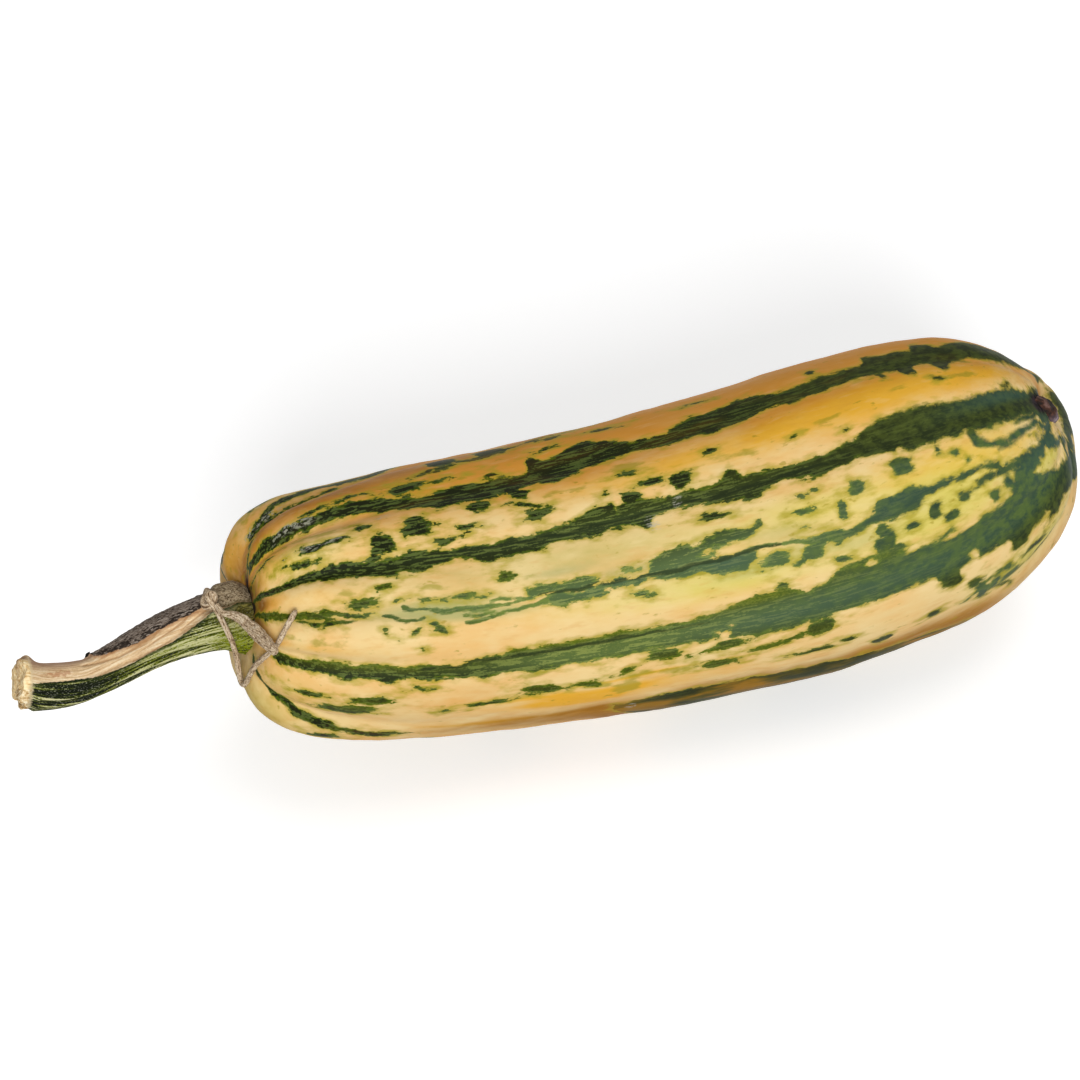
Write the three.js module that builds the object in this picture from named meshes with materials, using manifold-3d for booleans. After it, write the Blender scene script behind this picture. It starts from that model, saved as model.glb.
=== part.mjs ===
// Delicata squash with its cut stem, a dried tendril, a withered stalk and the blossom scar.
// Millimetres. +X runs from the stem end to the blossom end, +Z is up.
// The origin is the middle of the flat spot under the fruit, on the floor.
import * as THREE from 'three';
import { mergeVertices } from 'three/addons/utils/BufferGeometryUtils.js';
import Module from 'manifold-3d';

// ---- fruit ----
const HALF_LENGTH = 118;        // half the length of the fruit before its ends are hollowed
const MID_RADIUS = 39.1;        // radius half way along
const TAPER = 0.214;            // how much fuller the blossom half is than the stem half
const SWELL = 0.25;             // how much both halves swell away from the middle
const STEM_END = { round: 3.15, shoulder: 3.0 };      // blunt shoulder
const BLOSSOM_END = { round: 2.2, shoulder: 2.33 };   // rounder nose
const PIT_DEPTH = 9.4;          // hollow that the stem grows from
const PIT_RADIUS = 21.4;
const DIMPLE_DEPTH = 3.6;       // hollow of the blossom scar
const DIMPLE_RADIUS = 6;

// The ribs run together off the middle of the blossom end, towards the front and the top. The
// skin is swept over its own rounding, which falls back this much at such a distance.
const SCAR_SHIFT = { side: -5.1, up: 13.5, radius: 19 };
const BLOSSOM_FALL = { depth: 5.4, distance: 20, power: 2.46 };

const BELLY = { depth: 2.4, at: -28, length: 50, angle: 182, spread: 30 };   // fuller underside
const AXIS_HEIGHT = 40.4;       // height of the straight axis above the floor
const FLAT_CENTRE = { x: 14, y: -0.8 };   // middle of the flat spot, from the middle of the length

// The middle line bows slightly along its whole length, and each end turns away from the axis
// beyond the point where its turn starts (a share of the half length).
const BOW = { side: 2.4, up: 3.2, level: 0.33 };
const STEM_TURN = { start: 0.07, side: -3.8, up: 17 };
const BLOSSOM_TURN = { start: 0.18, side: 1.6, up: 14.2 };

// Furrows: degrees round the axis at mid length, from the top towards -Y, and how far each
// one turns on its way to the blossom end.
const FURROWS = [
  { at: -50, turn: -14 },
  { at: -10.5, turn: -5 },
  { at: 19, turn: -3 },
  { at: 44, turn: 0 },
  { at: 67, turn: -1 },
  { at: 104, turn: -3 },
  { at: 143, turn: -3 },
  { at: 185, turn: -4 },
  { at: 228, turn: -8 },
  { at: 270, turn: -12 },
];
const FURROW_DEPTH = 1.3;                                     // along the middle
const STEM_FURROWS = { depth: 3.0, at: -0.93, length: 0.22 };     // added on the stem shoulder
const BLOSSOM_FURROWS = { depth: 1.1, at: 0.95, length: 0.25 };   // added at the blossom end
const POLE_RADIUS = 14;         // the furrows fade out this near to either end of the line
const RIB_FULLNESS = 0.8;       // below 1 the ribs are round backs, above it narrow ridges
const COLUMNS_PER_RIB = 6;
const FRUIT_RINGS = 48;

// ---- stem ----
// Stations from the foot, inside the pit, to the cut: middle of the section and its radius,
// measured from the middle of the fruit and its straight axis.
const STEM_STATIONS = [
  { x: -104, y: -2.5, z: 15.5, radius: 11.5 },
  { x: -108, y: -2.3, z: 15.8, radius: 10.4 },
  { x: -111.5, y: -2.1, z: 16, radius: 8.8 },
  { x: -116, y: -2, z: 16.3, radius: 7.3 },
  { x: -121, y: -2, z: 16, radius: 6.7 },
  { x: -128, y: -2, z: 14.8, radius: 6.1 },
  { x: -135, y: -2, z: 12.5, radius: 5.7 },
  { x: -143, y: -2, z: 9, radius: 5.6 },
  { x: -150, y: -2, z: 6.2, radius: 5.4 },
  { x: -156, y: -2, z: 5.2, radius: 5.7 },
  { x: -162, y: -2, z: 6.2, radius: 5.9 },
  { x: -168.5, y: -2, z: 8.8, radius: 6.2 },
];
const STEM_RIDGES = 6;
const STEM_RIDGE_HEIGHT = 0.35;
const STEM_RIDGE_TURN = 50;     // degrees that the ridges wind from foot to cut
const BARK_LUMP = { height: 0.9, at: 0.2, length: 0.1 };      // corky lump on top of the foot
const STEM_COLUMNS = 30;
const STEM_STEPS = 30;
const CUT_BULGE = 0.8;          // the cut end stands out this far in the middle

// ---- dried vine ----
const GAP = 0.36;               // air between pieces that touch
const TENDRIL_RADIUS = 0.6;
const TENDRIL_ROUTE = [
  { x: -116.8, y: 3.3, z: 8.1 },
  { x: -117.4, y: 5.5, z: 11.4 },
  { x: -117.8, y: 6.5, z: 15.8 },
  { x: -118, y: 5.7, z: 20.2 },
  { x: -118.2, y: 2.6, z: 23.4 },
  { x: -119.2, y: -0.2, z: 24.8 },
  { x: -119.9, y: -2.0, z: 24.6 },
  { x: -118.9, y: -3.6, z: 24.7 },
  { x: -117.6, y: -3.3, z: 25.7 },
  { x: -117.3, y: -1.8, z: 26.4 },
  { x: -118.4, y: -1.6, z: 27.0 },
  { x: -118.4, y: -3.4, z: 26.6 },
  { x: -117.2, y: -5.2, z: 25 },
  { x: -116.2, y: -7.6, z: 23.2 },
  { x: -115.3, y: -9.8, z: 21.1 },
  { x: -114.5, y: -11.1, z: 17.9 },
  { x: -114.1, y: -11.7, z: 13.5 },
  { x: -114.1, y: -13.5, z: 9.6 },
  { x: -114.1, y: -16, z: 6.6 },
  { x: -113.3, y: -17.6, z: 8.5 },
  { x: -112.3, y: -18.5, z: 12 },
  { x: -110.4, y: -19.9, z: 17.7 },
  { x: -107.7, y: -21.3, z: 22.4 },
  { x: -104.8, y: -21.9, z: 26.4 },
  { x: -102.8, y: -21.2, z: 29.2 },
  { x: -100.5, y: -19.4, z: 31.4 },
  { x: -98.9, y: -18.6, z: 33.2 },
];
const STALK_STATIONS = [
  { x: -116.4, y: -5.4, z: 26.5, radius: 0.7 },
  { x: -115.3, y: -7.6, z: 25.9, radius: 0.75 },
  { x: -113.6, y: -9, z: 26.1, radius: 0.9 },
  { x: -111.8, y: -10.7, z: 26.3, radius: 1.25 },
  { x: -110, y: -13.9, z: 26.4, radius: 1.65 },
  { x: -108.5, y: -17.6, z: 27.1, radius: 1.85 },
  { x: -107.3, y: -20.8, z: 27.5, radius: 1.75 },
  { x: -106.3, y: -23.6, z: 28, radius: 1.45 },
  { x: -105.7, y: -25.2, z: 28.1, radius: 1.05 },
];

// ---- blossom scar ----
const SCAR_RADIUS = 4.6;
const SCAR_NARROWING = 0.8;     // width over height
const SCAR_HEIGHT = 3.6;        // half its thickness, most of it below the rind
const SCAR_RISE = 1;
const SCAR_RIM = 3;             // the skin round it is taken this many rings away
const SCAR_COLUMNS = 16;
const SCAR_RINGS = 10;

const wasm = await Module();
wasm.setup();
const radians = THREE.MathUtils.degToRad;
const hill = (value, middle, width) => Math.exp(-(((value - middle) / width) ** 2));

// A closed skin: LatheGeometry gives the rows and columns, and place(column, ring) puts each
// point. The first and last rings are single points.
function skin(columns, rings, place) {
  const profile = [];
  for (let ring = 0; ring <= rings; ring++) {
    profile.push(new THREE.Vector2(Math.sin((Math.PI * ring) / rings), ring));
  }
  const geometry = new THREE.LatheGeometry(profile, columns);
  const position = geometry.attributes.position;
  for (let column = 0; column <= columns; column++) {
    for (let ring = 0; ring <= rings; ring++) {
      const point = place(column % columns, ring);
      position.setXYZ(column * (rings + 1) + ring, point.x, point.y, point.z);
    }
  }
  return closed(geometry);
}

// Merges shared corners, drops the empty triangles at the poles and turns the faces outwards.
function closed(geometry) {
  geometry.deleteAttribute('normal');
  geometry.deleteAttribute('uv');
  const merged = mergeVertices(geometry, 1e-4);
  const index = Array.from(merged.index.array);
  const faces = [];
  for (let k = 0; k < index.length; k += 3) {
    const [a, b, c] = index.slice(k, k + 3);
    if (a !== b && b !== c && c !== a) faces.push(a, b, c);
  }
  const p = merged.attributes.position;
  const corner = (i) => new THREE.Vector3().fromBufferAttribute(p, i);
  let volume = 0;
  for (let k = 0; k < faces.length; k += 3) {
    const side = corner(faces[k + 1]).cross(corner(faces[k + 2]));
    volume += corner(faces[k]).dot(side) / 6;
  }
  if (volume < 0) faces.reverse();
  merged.setIndex(faces);
  merged.computeVertexNormals();
  return merged;
}

function toSolid(geometry) {
  const vertProperties = new Float32Array(geometry.attributes.position.array);
  const triVerts = new Uint32Array(geometry.index.array);
  return new wasm.Manifold(new wasm.Mesh({ numProp: 3, vertProperties, triVerts }));
}

function toGeometry(solid) {
  const mesh = solid.getMesh();
  const geometry = new THREE.BufferGeometry();
  geometry.setAttribute('position', new THREE.BufferAttribute(mesh.vertProperties, 3));
  geometry.setIndex(new THREE.BufferAttribute(mesh.triVerts, 1));
  geometry.computeVertexNormals();
  return geometry;
}

// Axes across a direction: side is level, up is as near to +Z as it can be.
function across(along) {
  const side = new THREE.Vector3(0, 0, 1).cross(along).normalize();
  const up = along.clone().cross(side);
  return { side, up };
}

// The middle line of the fruit at a length x, with the axes of the section there.
function middleLine(x) {
  const t = x / HALF_LENGTH;
  const toStem = Math.max(-t - STEM_TURN.start, 0) / (1 - STEM_TURN.start);
  const toBlossom = Math.max(t - BLOSSOM_TURN.start, 0) / (1 - BLOSSOM_TURN.start);
  const place = (way) => BOW[way] * (t * t - BOW.level)
    + STEM_TURN[way] * toStem ** 2
    + BLOSSOM_TURN[way] * toBlossom ** 2;
  const slope = (way) => 2 * BOW[way] * t
    - (2 * STEM_TURN[way] * toStem) / (1 - STEM_TURN.start)
    + (2 * BLOSSOM_TURN[way] * toBlossom) / (1 - BLOSSOM_TURN.start);
  const middle = new THREE.Vector3(x, place('side'), place('up'));
  const along = new THREE.Vector3(HALF_LENGTH, slope('side'), slope('up')).normalize();
  return { middle, along, ...across(along) };
}

// How deep the furrows are at a share t of the half length.
function furrowDepth(t) {
  return FURROW_DEPTH
    + STEM_FURROWS.depth * hill(t, STEM_FURROWS.at, STEM_FURROWS.length)
    + BLOSSOM_FURROWS.depth * hill(t, BLOSSOM_FURROWS.at, BLOSSOM_FURROWS.length);
}

// How far the blossom end has fallen back at a distance from its middle.
function blossomFall(distance) {
  return BLOSSOM_FALL.depth * (distance / BLOSSOM_FALL.distance) ** BLOSSOM_FALL.power;
}

// Surface of the fruit. grow moves it outwards, for cutting what rests on it.
function fruitPoint(column, ring, grow) {
  const c = Math.cos((Math.PI * ring) / FRUIT_RINGS);
  const s = Math.max(Math.sin((Math.PI * ring) / FRUIT_RINGS), 0);
  const stemHalf = c > 0;
  const end = stemHalf ? STEM_END : BLOSSOM_END;
  const t = -Math.sign(c) * Math.abs(c) ** (2 / end.round);
  const radius = MID_RADIUS * (1 + TAPER * t + SWELL * t * t) * s ** (2 / end.shoulder);
  const pit = stemHalf ? PIT_DEPTH * hill(radius, 0, PIT_RADIUS) : 0;
  const x = HALF_LENGTH * t + pit - grow * c;
  const { middle, along, side, up } = middleLine(x);
  const rib = Math.floor(column / COLUMNS_PER_RIB);
  const share = column / COLUMNS_PER_RIB - rib;
  const next = FURROWS[(rib + 1) % FURROWS.length];
  const from = FURROWS[rib].at + FURROWS[rib].turn * t;
  const to = next.at + next.turn * t + (rib + 1 === FURROWS.length ? 360 : 0);
  const angle = from + (to - from) * share;
  const outwards = new THREE.Vector2(-Math.sin(radians(angle)), Math.cos(radians(angle)));
  const place = outwards.clone().multiplyScalar(radius);
  if (!stemHalf) {
    const swept = hill(radius, 0, SCAR_SHIFT.radius);
    place.x += SCAR_SHIFT.side * swept;
    place.y += SCAR_SHIFT.up * swept;
    const dimple = DIMPLE_DEPTH * hill(radius, 0, DIMPLE_RADIUS);
    middle.addScaledVector(along, blossomFall(radius) - blossomFall(place.length()) - dimple);
  }
  const crown = Math.sin(Math.PI * share) ** RIB_FULLNESS;
  const belly = BELLY.depth
    * hill(x, BELLY.at, BELLY.length)
    * hill(angle, BELLY.angle, BELLY.spread);
  const relief = (belly - furrowDepth(t) * (1 - crown)) * (1 - hill(radius, 0, POLE_RADIUS));
  place.addScaledVector(outwards, relief + grow * Math.sqrt(s));
  return middle.addScaledVector(side, place.x).addScaledVector(up, place.y);
}

// Moves a point from the straight axis to the floor's frame.
function settle(point) {
  return new THREE.Vector3(
    point.x - FLAT_CENTRE.x,
    point.y - FLAT_CENTRE.y,
    Math.max(point.z + AXIS_HEIGHT, 0),
  );
}

function fruitSkin(grow) {
  const columns = FURROWS.length * COLUMNS_PER_RIB;
  return skin(columns, FRUIT_RINGS, (column, ring) => settle(fruitPoint(column, ring, grow)));
}

// A tapered limb along a smooth line through stations, with closed blunt ends.
function limb(stations, columns, steps, bulge, section) {
  const line = new THREE.CatmullRomCurve3(stations.map((s) => settle(s)), false, 'centripetal');
  const girth = new THREE.CatmullRomCurve3(
    stations.map((s, k) => new THREE.Vector3(k, s.radius, 0)), false, 'catmullrom', 0.5,
  );
  return skin(columns, steps + 2, (column, ring) => {
    const u = THREE.MathUtils.clamp((ring - 1) / steps, 0, 1);
    const middle = line.getPoint(u);
    const along = line.getTangent(u);
    if (ring === 0) return middle.addScaledVector(along, -bulge);
    if (ring === steps + 2) return middle.addScaledVector(along, bulge);
    const { side, up } = across(along);
    const angle = (2 * Math.PI * column) / columns;
    const reach = girth.getPoint(u).y + section(angle, u);
    return middle
      .addScaledVector(side, reach * Math.sin(angle))
      .addScaledVector(up, reach * Math.cos(angle));
  });
}

function stemSkin() {
  const section = (angle, u) => {
    const turned = angle + radians(STEM_RIDGE_TURN) * u;
    const ridge = STEM_RIDGE_HEIGHT * Math.cos(STEM_RIDGES * turned);
    const top = Math.max(Math.cos(angle), 0) ** 2;
    return ridge * Math.min(1, u * 5) + BARK_LUMP.height * hill(u, BARK_LUMP.at, BARK_LUMP.length) * top;
  };
  return limb(STEM_STATIONS, STEM_COLUMNS, STEM_STEPS, CUT_BULGE, section);
}

// A round thread along a smooth route, with its ends closed.
function thread(route, radius, steps) {
  const line = new THREE.CatmullRomCurve3(route.map((p) => settle(p)), false, 'centripetal');
  const section = new THREE.Shape();
  section.absarc(0, 0, radius, 0, 2 * Math.PI, false);
  return closed(new THREE.ExtrudeGeometry(section, {
    steps, curveSegments: 4, bevelEnabled: false, extrudePath: line,
  }));
}

// The knob left by the flower: a low lumpy dome over the dimple, square to the skin round it.
function scarSkin() {
  const quarter = (FURROWS.length * COLUMNS_PER_RIB) / 4;
  const around = (turns) => fruitPoint(turns * quarter, FRUIT_RINGS - SCAR_RIM, 0);
  const outwards = around(1).sub(around(3)).cross(around(2).sub(around(0))).normalize();
  if (outwards.x < 0) outwards.negate();
  const { side, up } = across(outwards);
  const root = fruitPoint(0, FRUIT_RINGS, 0);
  return skin(SCAR_COLUMNS, SCAR_RINGS, (column, ring) => {
    const turn = (Math.PI * ring) / SCAR_RINGS;
    const angle = (2 * Math.PI * column) / SCAR_COLUMNS;
    const lump = 1 + 0.12 * Math.cos(3 * angle + 1) + 0.06 * Math.cos(5 * angle);
    const reach = SCAR_RADIUS * Math.max(Math.sin(turn), 0) * lump;
    const point = root.clone()
      .addScaledVector(outwards, SCAR_RISE - SCAR_HEIGHT * Math.cos(turn))
      .addScaledVector(side, SCAR_NARROWING * reach * Math.sin(angle))
      .addScaledVector(up, reach * Math.cos(angle));
    return settle(point);
  });
}

function piece(name, geometry, color, roughness) {
  const material = new THREE.MeshStandardMaterial({ color, roughness, metalness: 0 });
  const mesh = new THREE.Mesh(geometry, material);
  mesh.name = name;
  return mesh;
}

const fruitWithGap = toSolid(fruitSkin(GAP));
const stem = toGeometry(toSolid(stemSkin()).subtract(fruitWithGap));
const scar = toGeometry(toSolid(scarSkin()).subtract(fruitWithGap));
const plain = () => 0;

const squash = new THREE.Group();
squash.name = 'delicata_squash';
squash.add(
  piece('squash_fruit', fruitSkin(0), 0xe2b765, 0.42),
  piece('stem', stem, 0x7f8a4e, 0.75),
  piece('dried_tendril', thread(TENDRIL_ROUTE, TENDRIL_RADIUS, 78), 0xa39682, 0.9),
  piece('withered_stalk', limb(STALK_STATIONS, 12, 16, 0.3, plain), 0x9a8b77, 0.9),
  piece('blossom_scar', scar, 0x3a2a22, 0.85),
);

export default squash;
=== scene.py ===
"""A delicata squash with its cut stem, a dried tendril, a withered stalk and the blossom scar.

Metres, +X from the stem end to the blossom end, +Z up, the floor at zero. The lists of markings
give places on the rind: millimetres along it from the stem pole, and the rib coordinate, which
is a whole number on each furrow and counts from the back over the top towards the front.
"""

import math
import random

import bmesh
import bpy
import numpy as np
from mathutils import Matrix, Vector, noise


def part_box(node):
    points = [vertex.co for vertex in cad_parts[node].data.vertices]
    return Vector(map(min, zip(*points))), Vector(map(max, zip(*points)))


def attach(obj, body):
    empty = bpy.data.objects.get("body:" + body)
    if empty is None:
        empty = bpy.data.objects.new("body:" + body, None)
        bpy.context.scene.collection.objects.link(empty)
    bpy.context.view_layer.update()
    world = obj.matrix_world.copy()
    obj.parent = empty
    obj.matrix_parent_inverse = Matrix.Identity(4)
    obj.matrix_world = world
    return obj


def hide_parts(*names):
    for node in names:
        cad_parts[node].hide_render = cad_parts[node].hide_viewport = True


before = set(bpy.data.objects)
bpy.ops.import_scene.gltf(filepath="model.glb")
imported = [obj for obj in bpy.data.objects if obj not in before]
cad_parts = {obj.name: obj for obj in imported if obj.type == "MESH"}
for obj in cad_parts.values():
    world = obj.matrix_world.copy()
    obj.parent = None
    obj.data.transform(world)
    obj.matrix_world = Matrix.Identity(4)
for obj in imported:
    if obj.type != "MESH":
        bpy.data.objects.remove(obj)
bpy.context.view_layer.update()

MM = 0.001
BODY = "root"

# ---- camera ----
CAMERA_TARGET = Vector((-0.0445, 0.0008, 0.0571))
CAMERA_AZIMUTH = -16.45
CAMERA_ELEVATION = 50
CAMERA_DISTANCE = 0.664
CAMERA_LENS = 85

# ---- fruit, with the same driving sizes as its solid ----
HALF_LENGTH = 0.118
MID_RADIUS = 0.0391
TAPER = 0.214
SWELL = 0.25
STEM_END = {"round": 3.15, "shoulder": 3.0}
BLOSSOM_END = {"round": 2.2, "shoulder": 2.33}
PIT_DEPTH = 0.0094
PIT_RADIUS = 0.0214
DIMPLE_DEPTH = 0.0036
DIMPLE_RADIUS = 0.006
SCAR_SHIFT = {"side": -0.0051, "up": 0.0135, "radius": 0.019}
BLOSSOM_FALL = {"depth": 0.0054, "distance": 0.020, "power": 2.46}
BELLY = {"depth": 0.0024, "at": -0.028, "length": 0.050, "angle": 182, "spread": 30}
AXIS_HEIGHT = 0.0404
FLAT_CENTRE = (0.014, -0.0008)
BOW = {"side": 0.0024, "up": 0.0032, "level": 0.33}
STEM_TURN = {"start": 0.07, "side": -0.0038, "up": 0.017}
BLOSSOM_TURN = {"start": 0.18, "side": 0.0016, "up": 0.0142}

# Furrows: degrees round the axis at mid length, from the top towards -Y, and how far each turns.
FURROWS = [(-50, -14), (-10.5, -5), (19, -3), (44, 0), (67, -1),
           (104, -3), (143, -3), (185, -4), (228, -8), (270, -12)]
FURROW_DEPTH = 0.0013
STEM_FURROWS = {"depth": 0.0030, "at": -0.93, "length": 0.22}
BLOSSOM_FURROWS = {"depth": 0.0011, "at": 0.95, "length": 0.25}
POLE_RADIUS = 0.014
RIB_FULLNESS = 0.8
# Fuller places on the skin: (along in millimetres, rib coordinate, half length, half breadth,
# height in metres).
FULLER_PLACES = [
    (26, -0.8, 20, 0.7, 0.0026), (34, 5.6, 20, 0.6, 0.0016), (21, 6.4, 9, 0.6, -0.0011),
    (110, 0.1, 45, 0.5, 0.0011), (218, 5.3, 12, 0.5, 0.0007), (266, 8.0, 6, 2.0, 0.0022),
    (262, 5.2, 9, 1.3, -0.0008), (21, -1.1, 6, 0.6, 0.0005), (50, 5.6, 14, 0.5, 0.0004),
    (137, 5.55, 25, 0.5, 0.0006), (238, 0.3, 16, 0.6, 0.0004),
]
RIBS = len(FURROWS)
COLUMNS_PER_RIB = 8
COLUMNS = RIBS * COLUMNS_PER_RIB
RINGS = 76
# Lumps of the skin, (size, height), and how far above the floor they start and are full.
SKIN_LUMPS = {"broad_lumps": (0.030, 0.0016), "small_lumps": (0.007, 0.00035)}
LUMPS_START = 0.004
LUMPS_CLIMB = 0.012

# ---- stem, tendril and stalk: (x, y, z, radius) from the middle of the fruit and its axis ----
STEM_STATIONS = [
    (-0.104, -0.0025, 0.0155, 0.0115), (-0.108, -0.0023, 0.0158, 0.0104),
    (-0.1115, -0.0021, 0.016, 0.0088), (-0.116, -0.002, 0.0163, 0.0073),
    (-0.121, -0.002, 0.016, 0.0067), (-0.128, -0.002, 0.0148, 0.0061),
    (-0.135, -0.002, 0.0125, 0.0057), (-0.143, -0.002, 0.009, 0.0056),
    (-0.150, -0.002, 0.0062, 0.0054), (-0.156, -0.002, 0.0052, 0.0057),
    (-0.162, -0.002, 0.0062, 0.0059), (-0.1685, -0.002, 0.0088, 0.0062),
]
TENDRIL_RADIUS = 0.0007
TENDRIL_COIL = {"at": 0.3, "length": 0.16, "thicker": 0.5}
TENDRIL_ROUTE = [
    (-0.1168, 0.0033, 0.0081), (-0.1174, 0.0055, 0.0114), (-0.1178, 0.0065, 0.0158),
    (-0.1174, 0.0054, 0.0196), (-0.1174, 0.0024, 0.0226), (-0.1184, -0.0003, 0.0242),
    (-0.1193, -0.0022, 0.0243), (-0.1184, -0.0038, 0.0246), (-0.1169, -0.0034, 0.0256),
    (-0.1165, -0.0018, 0.0262), (-0.1175, -0.0013, 0.0268), (-0.1178, -0.0032, 0.0266),
    (-0.1167, -0.0052, 0.0251), (-0.1159, -0.0076, 0.0232), (-0.1152, -0.0098, 0.0211),
    (-0.1145, -0.0111, 0.0179), (-0.1141, -0.0117, 0.0135), (-0.1141, -0.0135, 0.0096),
    (-0.1141, -0.016, 0.0066), (-0.1133, -0.0176, 0.0085), (-0.1123, -0.0185, 0.012),
    (-0.1104, -0.0199, 0.0177), (-0.1077, -0.0213, 0.0224), (-0.1048, -0.0219, 0.0264),
    (-0.1028, -0.0212, 0.0292), (-0.1005, -0.0194, 0.0314), (-0.0989, -0.0186, 0.0332),
]
STALK_STATIONS = [
    (-0.1164, -0.0054, 0.0265, 0.0007), (-0.1153, -0.0076, 0.0259, 0.00075),
    (-0.1136, -0.009, 0.0261, 0.0009), (-0.1118, -0.0107, 0.0263, 0.0012),
    (-0.110, -0.0139, 0.0264, 0.00145), (-0.1085, -0.0176, 0.0271, 0.0016),
    (-0.1073, -0.0208, 0.0275, 0.0015), (-0.1063, -0.0236, 0.028, 0.0013),
    (-0.1057, -0.0252, 0.0281, 0.001),
]


def hill(value, middle, width):
    """A smooth hill, 1 at its middle."""
    return np.exp(-(((value - middle) / width) ** 2))


def climb(value, start, length):
    """0 up to the start and 1 from a length further on. A negative length falls instead."""
    return np.clip((value - start) / length, 0, 1)


def without_traces(weights):
    """Weights with the faintest ones left out, which would only cost time."""
    return np.where(weights > 0.01, weights, 0)


# ---- the bench: selecting and shaping in edit mode ----
def start_editing(piece):
    """Puts a piece alone in edit mode and returns its mesh."""
    bpy.ops.object.select_all(action="DESELECT")
    piece.select_set(True)
    bpy.context.view_layer.objects.active = piece
    bpy.ops.object.mode_set(mode="EDIT")
    bpy.ops.mesh.select_all(action="DESELECT")
    return bmesh.from_edit_mesh(piece.data)


def stop_editing():
    bpy.ops.object.mode_set(mode="OBJECT")


def pick(mesh, points):
    """Selects these points of the mesh and nothing else."""
    for element in (*mesh.faces, *mesh.edges, *mesh.verts):
        element.select = False
    for point in points:
        point.select = True
    mesh.select_flush_mode()


def turn(degrees, axis, centre):
    """Turns the selection. With no window the operator goes the other way round."""
    bpy.ops.transform.rotate(value=-math.radians(degrees), orient_axis=axis, center_override=centre)


def stretch(amount, centre):
    bpy.ops.transform.resize(value=amount, center_override=centre)


def move(offset):
    bpy.ops.transform.translate(value=offset)


def start_piece(name, add_primitive, **settings):
    """Adds a primitive with nothing else selected, and names it."""
    bpy.ops.object.select_all(action="DESELECT")
    add_primitive(**settings)
    piece = bpy.context.object
    piece.name = name
    return piece


def apply(piece, kind, **settings):
    """Adds a modifier and applies it."""
    bpy.context.view_layer.objects.active = piece
    modifier = piece.modifiers.new(kind.lower(), kind)
    for name, value in settings.items():
        setattr(modifier, name, value)
    bpy.ops.object.modifier_apply(modifier=modifier.name)


def weigh(piece, name, weights):
    """A vertex group with a weight for each point."""
    group = piece.vertex_groups.new(name=name + "_weight")
    for index, weight in enumerate(weights):
        if weight > 0:
            group.add([index], float(weight), "REPLACE")
    return group.name


def subdivide(piece, levels):
    """Finer and smoother, with the UV places kept as they are."""
    apply(piece, "SUBSURF", levels=levels, render_levels=levels, uv_smooth="NONE")


def lift(piece, name, height, weights, **settings):
    """Moves the points out by a height times their weights, or in by a negative one."""
    apply(piece, "DISPLACE", strength=height, mid_level=0,
          vertex_group=weigh(piece, name, weights), **settings)


def roughen(piece, name, size, strength, **settings):
    """Soft procedural lumps of one size, half of their strength out and half in."""
    texture = bpy.data.textures.new(name, "CLOUDS")
    texture.noise_scale = size
    texture.noise_depth = 2
    apply(piece, "DISPLACE", texture=texture, texture_coords="LOCAL", strength=strength,
          mid_level=0.5, **settings)


def settle(point):
    """From the middle of the fruit and its straight axis to the frame's own place."""
    return Vector((point[0] - FLAT_CENTRE[0], point[1] - FLAT_CENTRE[1], point[2] + AXIS_HEIGHT))


def read_uv(piece):
    """The UV place of each point, as two arrays."""
    mesh = piece.data
    corner_points = np.zeros(len(mesh.loops), int)
    mesh.loops.foreach_get("vertex_index", corner_points)
    places = np.zeros(len(mesh.loops) * 2, np.float32)
    mesh.uv_layers[0].data.foreach_get("uv", places)
    found = np.zeros((len(mesh.vertices), 2))
    found[corner_points] = places.reshape(-1, 2)
    return found[:, 0], found[:, 1]


def read_points(piece):
    points = np.zeros(len(piece.data.vertices) * 3)
    piece.data.vertices.foreach_get("co", points)
    return points.reshape(-1, 3)


def paint(piece, name, values):
    """Keeps a number, or a vector, for each point under a name that materials read."""
    kind = "FLOAT_VECTOR" if np.ndim(values) == 2 else "FLOAT"
    field = "vector" if np.ndim(values) == 2 else "value"
    attribute = piece.data.attributes.new(name, kind, "POINT")
    attribute.data.foreach_set(field, np.asarray(values, np.float32).ravel())


# ---- fruit: form ----
def rind_profile(turned):
    """Share of the half length, radius and place along the axis, at a turn from pole to pole."""
    c = np.cos(turned)
    s = np.clip(np.sin(turned), 0, None)
    stem_half = c > 0
    rounding = np.where(stem_half, STEM_END["round"], BLOSSOM_END["round"])
    shoulder = np.where(stem_half, STEM_END["shoulder"], BLOSSOM_END["shoulder"])
    share = -np.sign(c) * np.abs(c) ** (2 / rounding)
    radius = MID_RADIUS * (1 + TAPER * share + SWELL * share**2) * s ** (2 / shoulder)
    pit = PIT_DEPTH * hill(radius, 0, PIT_RADIUS)
    dimple = DIMPLE_DEPTH * hill(radius, 0, DIMPLE_RADIUS)
    along = HALF_LENGTH * share + np.where(stem_half, pit, -dimple)
    return share, radius, along


TURNS = np.linspace(0, math.pi, 8001)
_, RADII, ALONGS = rind_profile(TURNS)
SKIN_LENGTHS = np.concatenate([[0], np.cumsum(np.hypot(np.diff(RADII), np.diff(ALONGS)))])
SKIN_LENGTH = SKIN_LENGTHS[-1]


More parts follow.
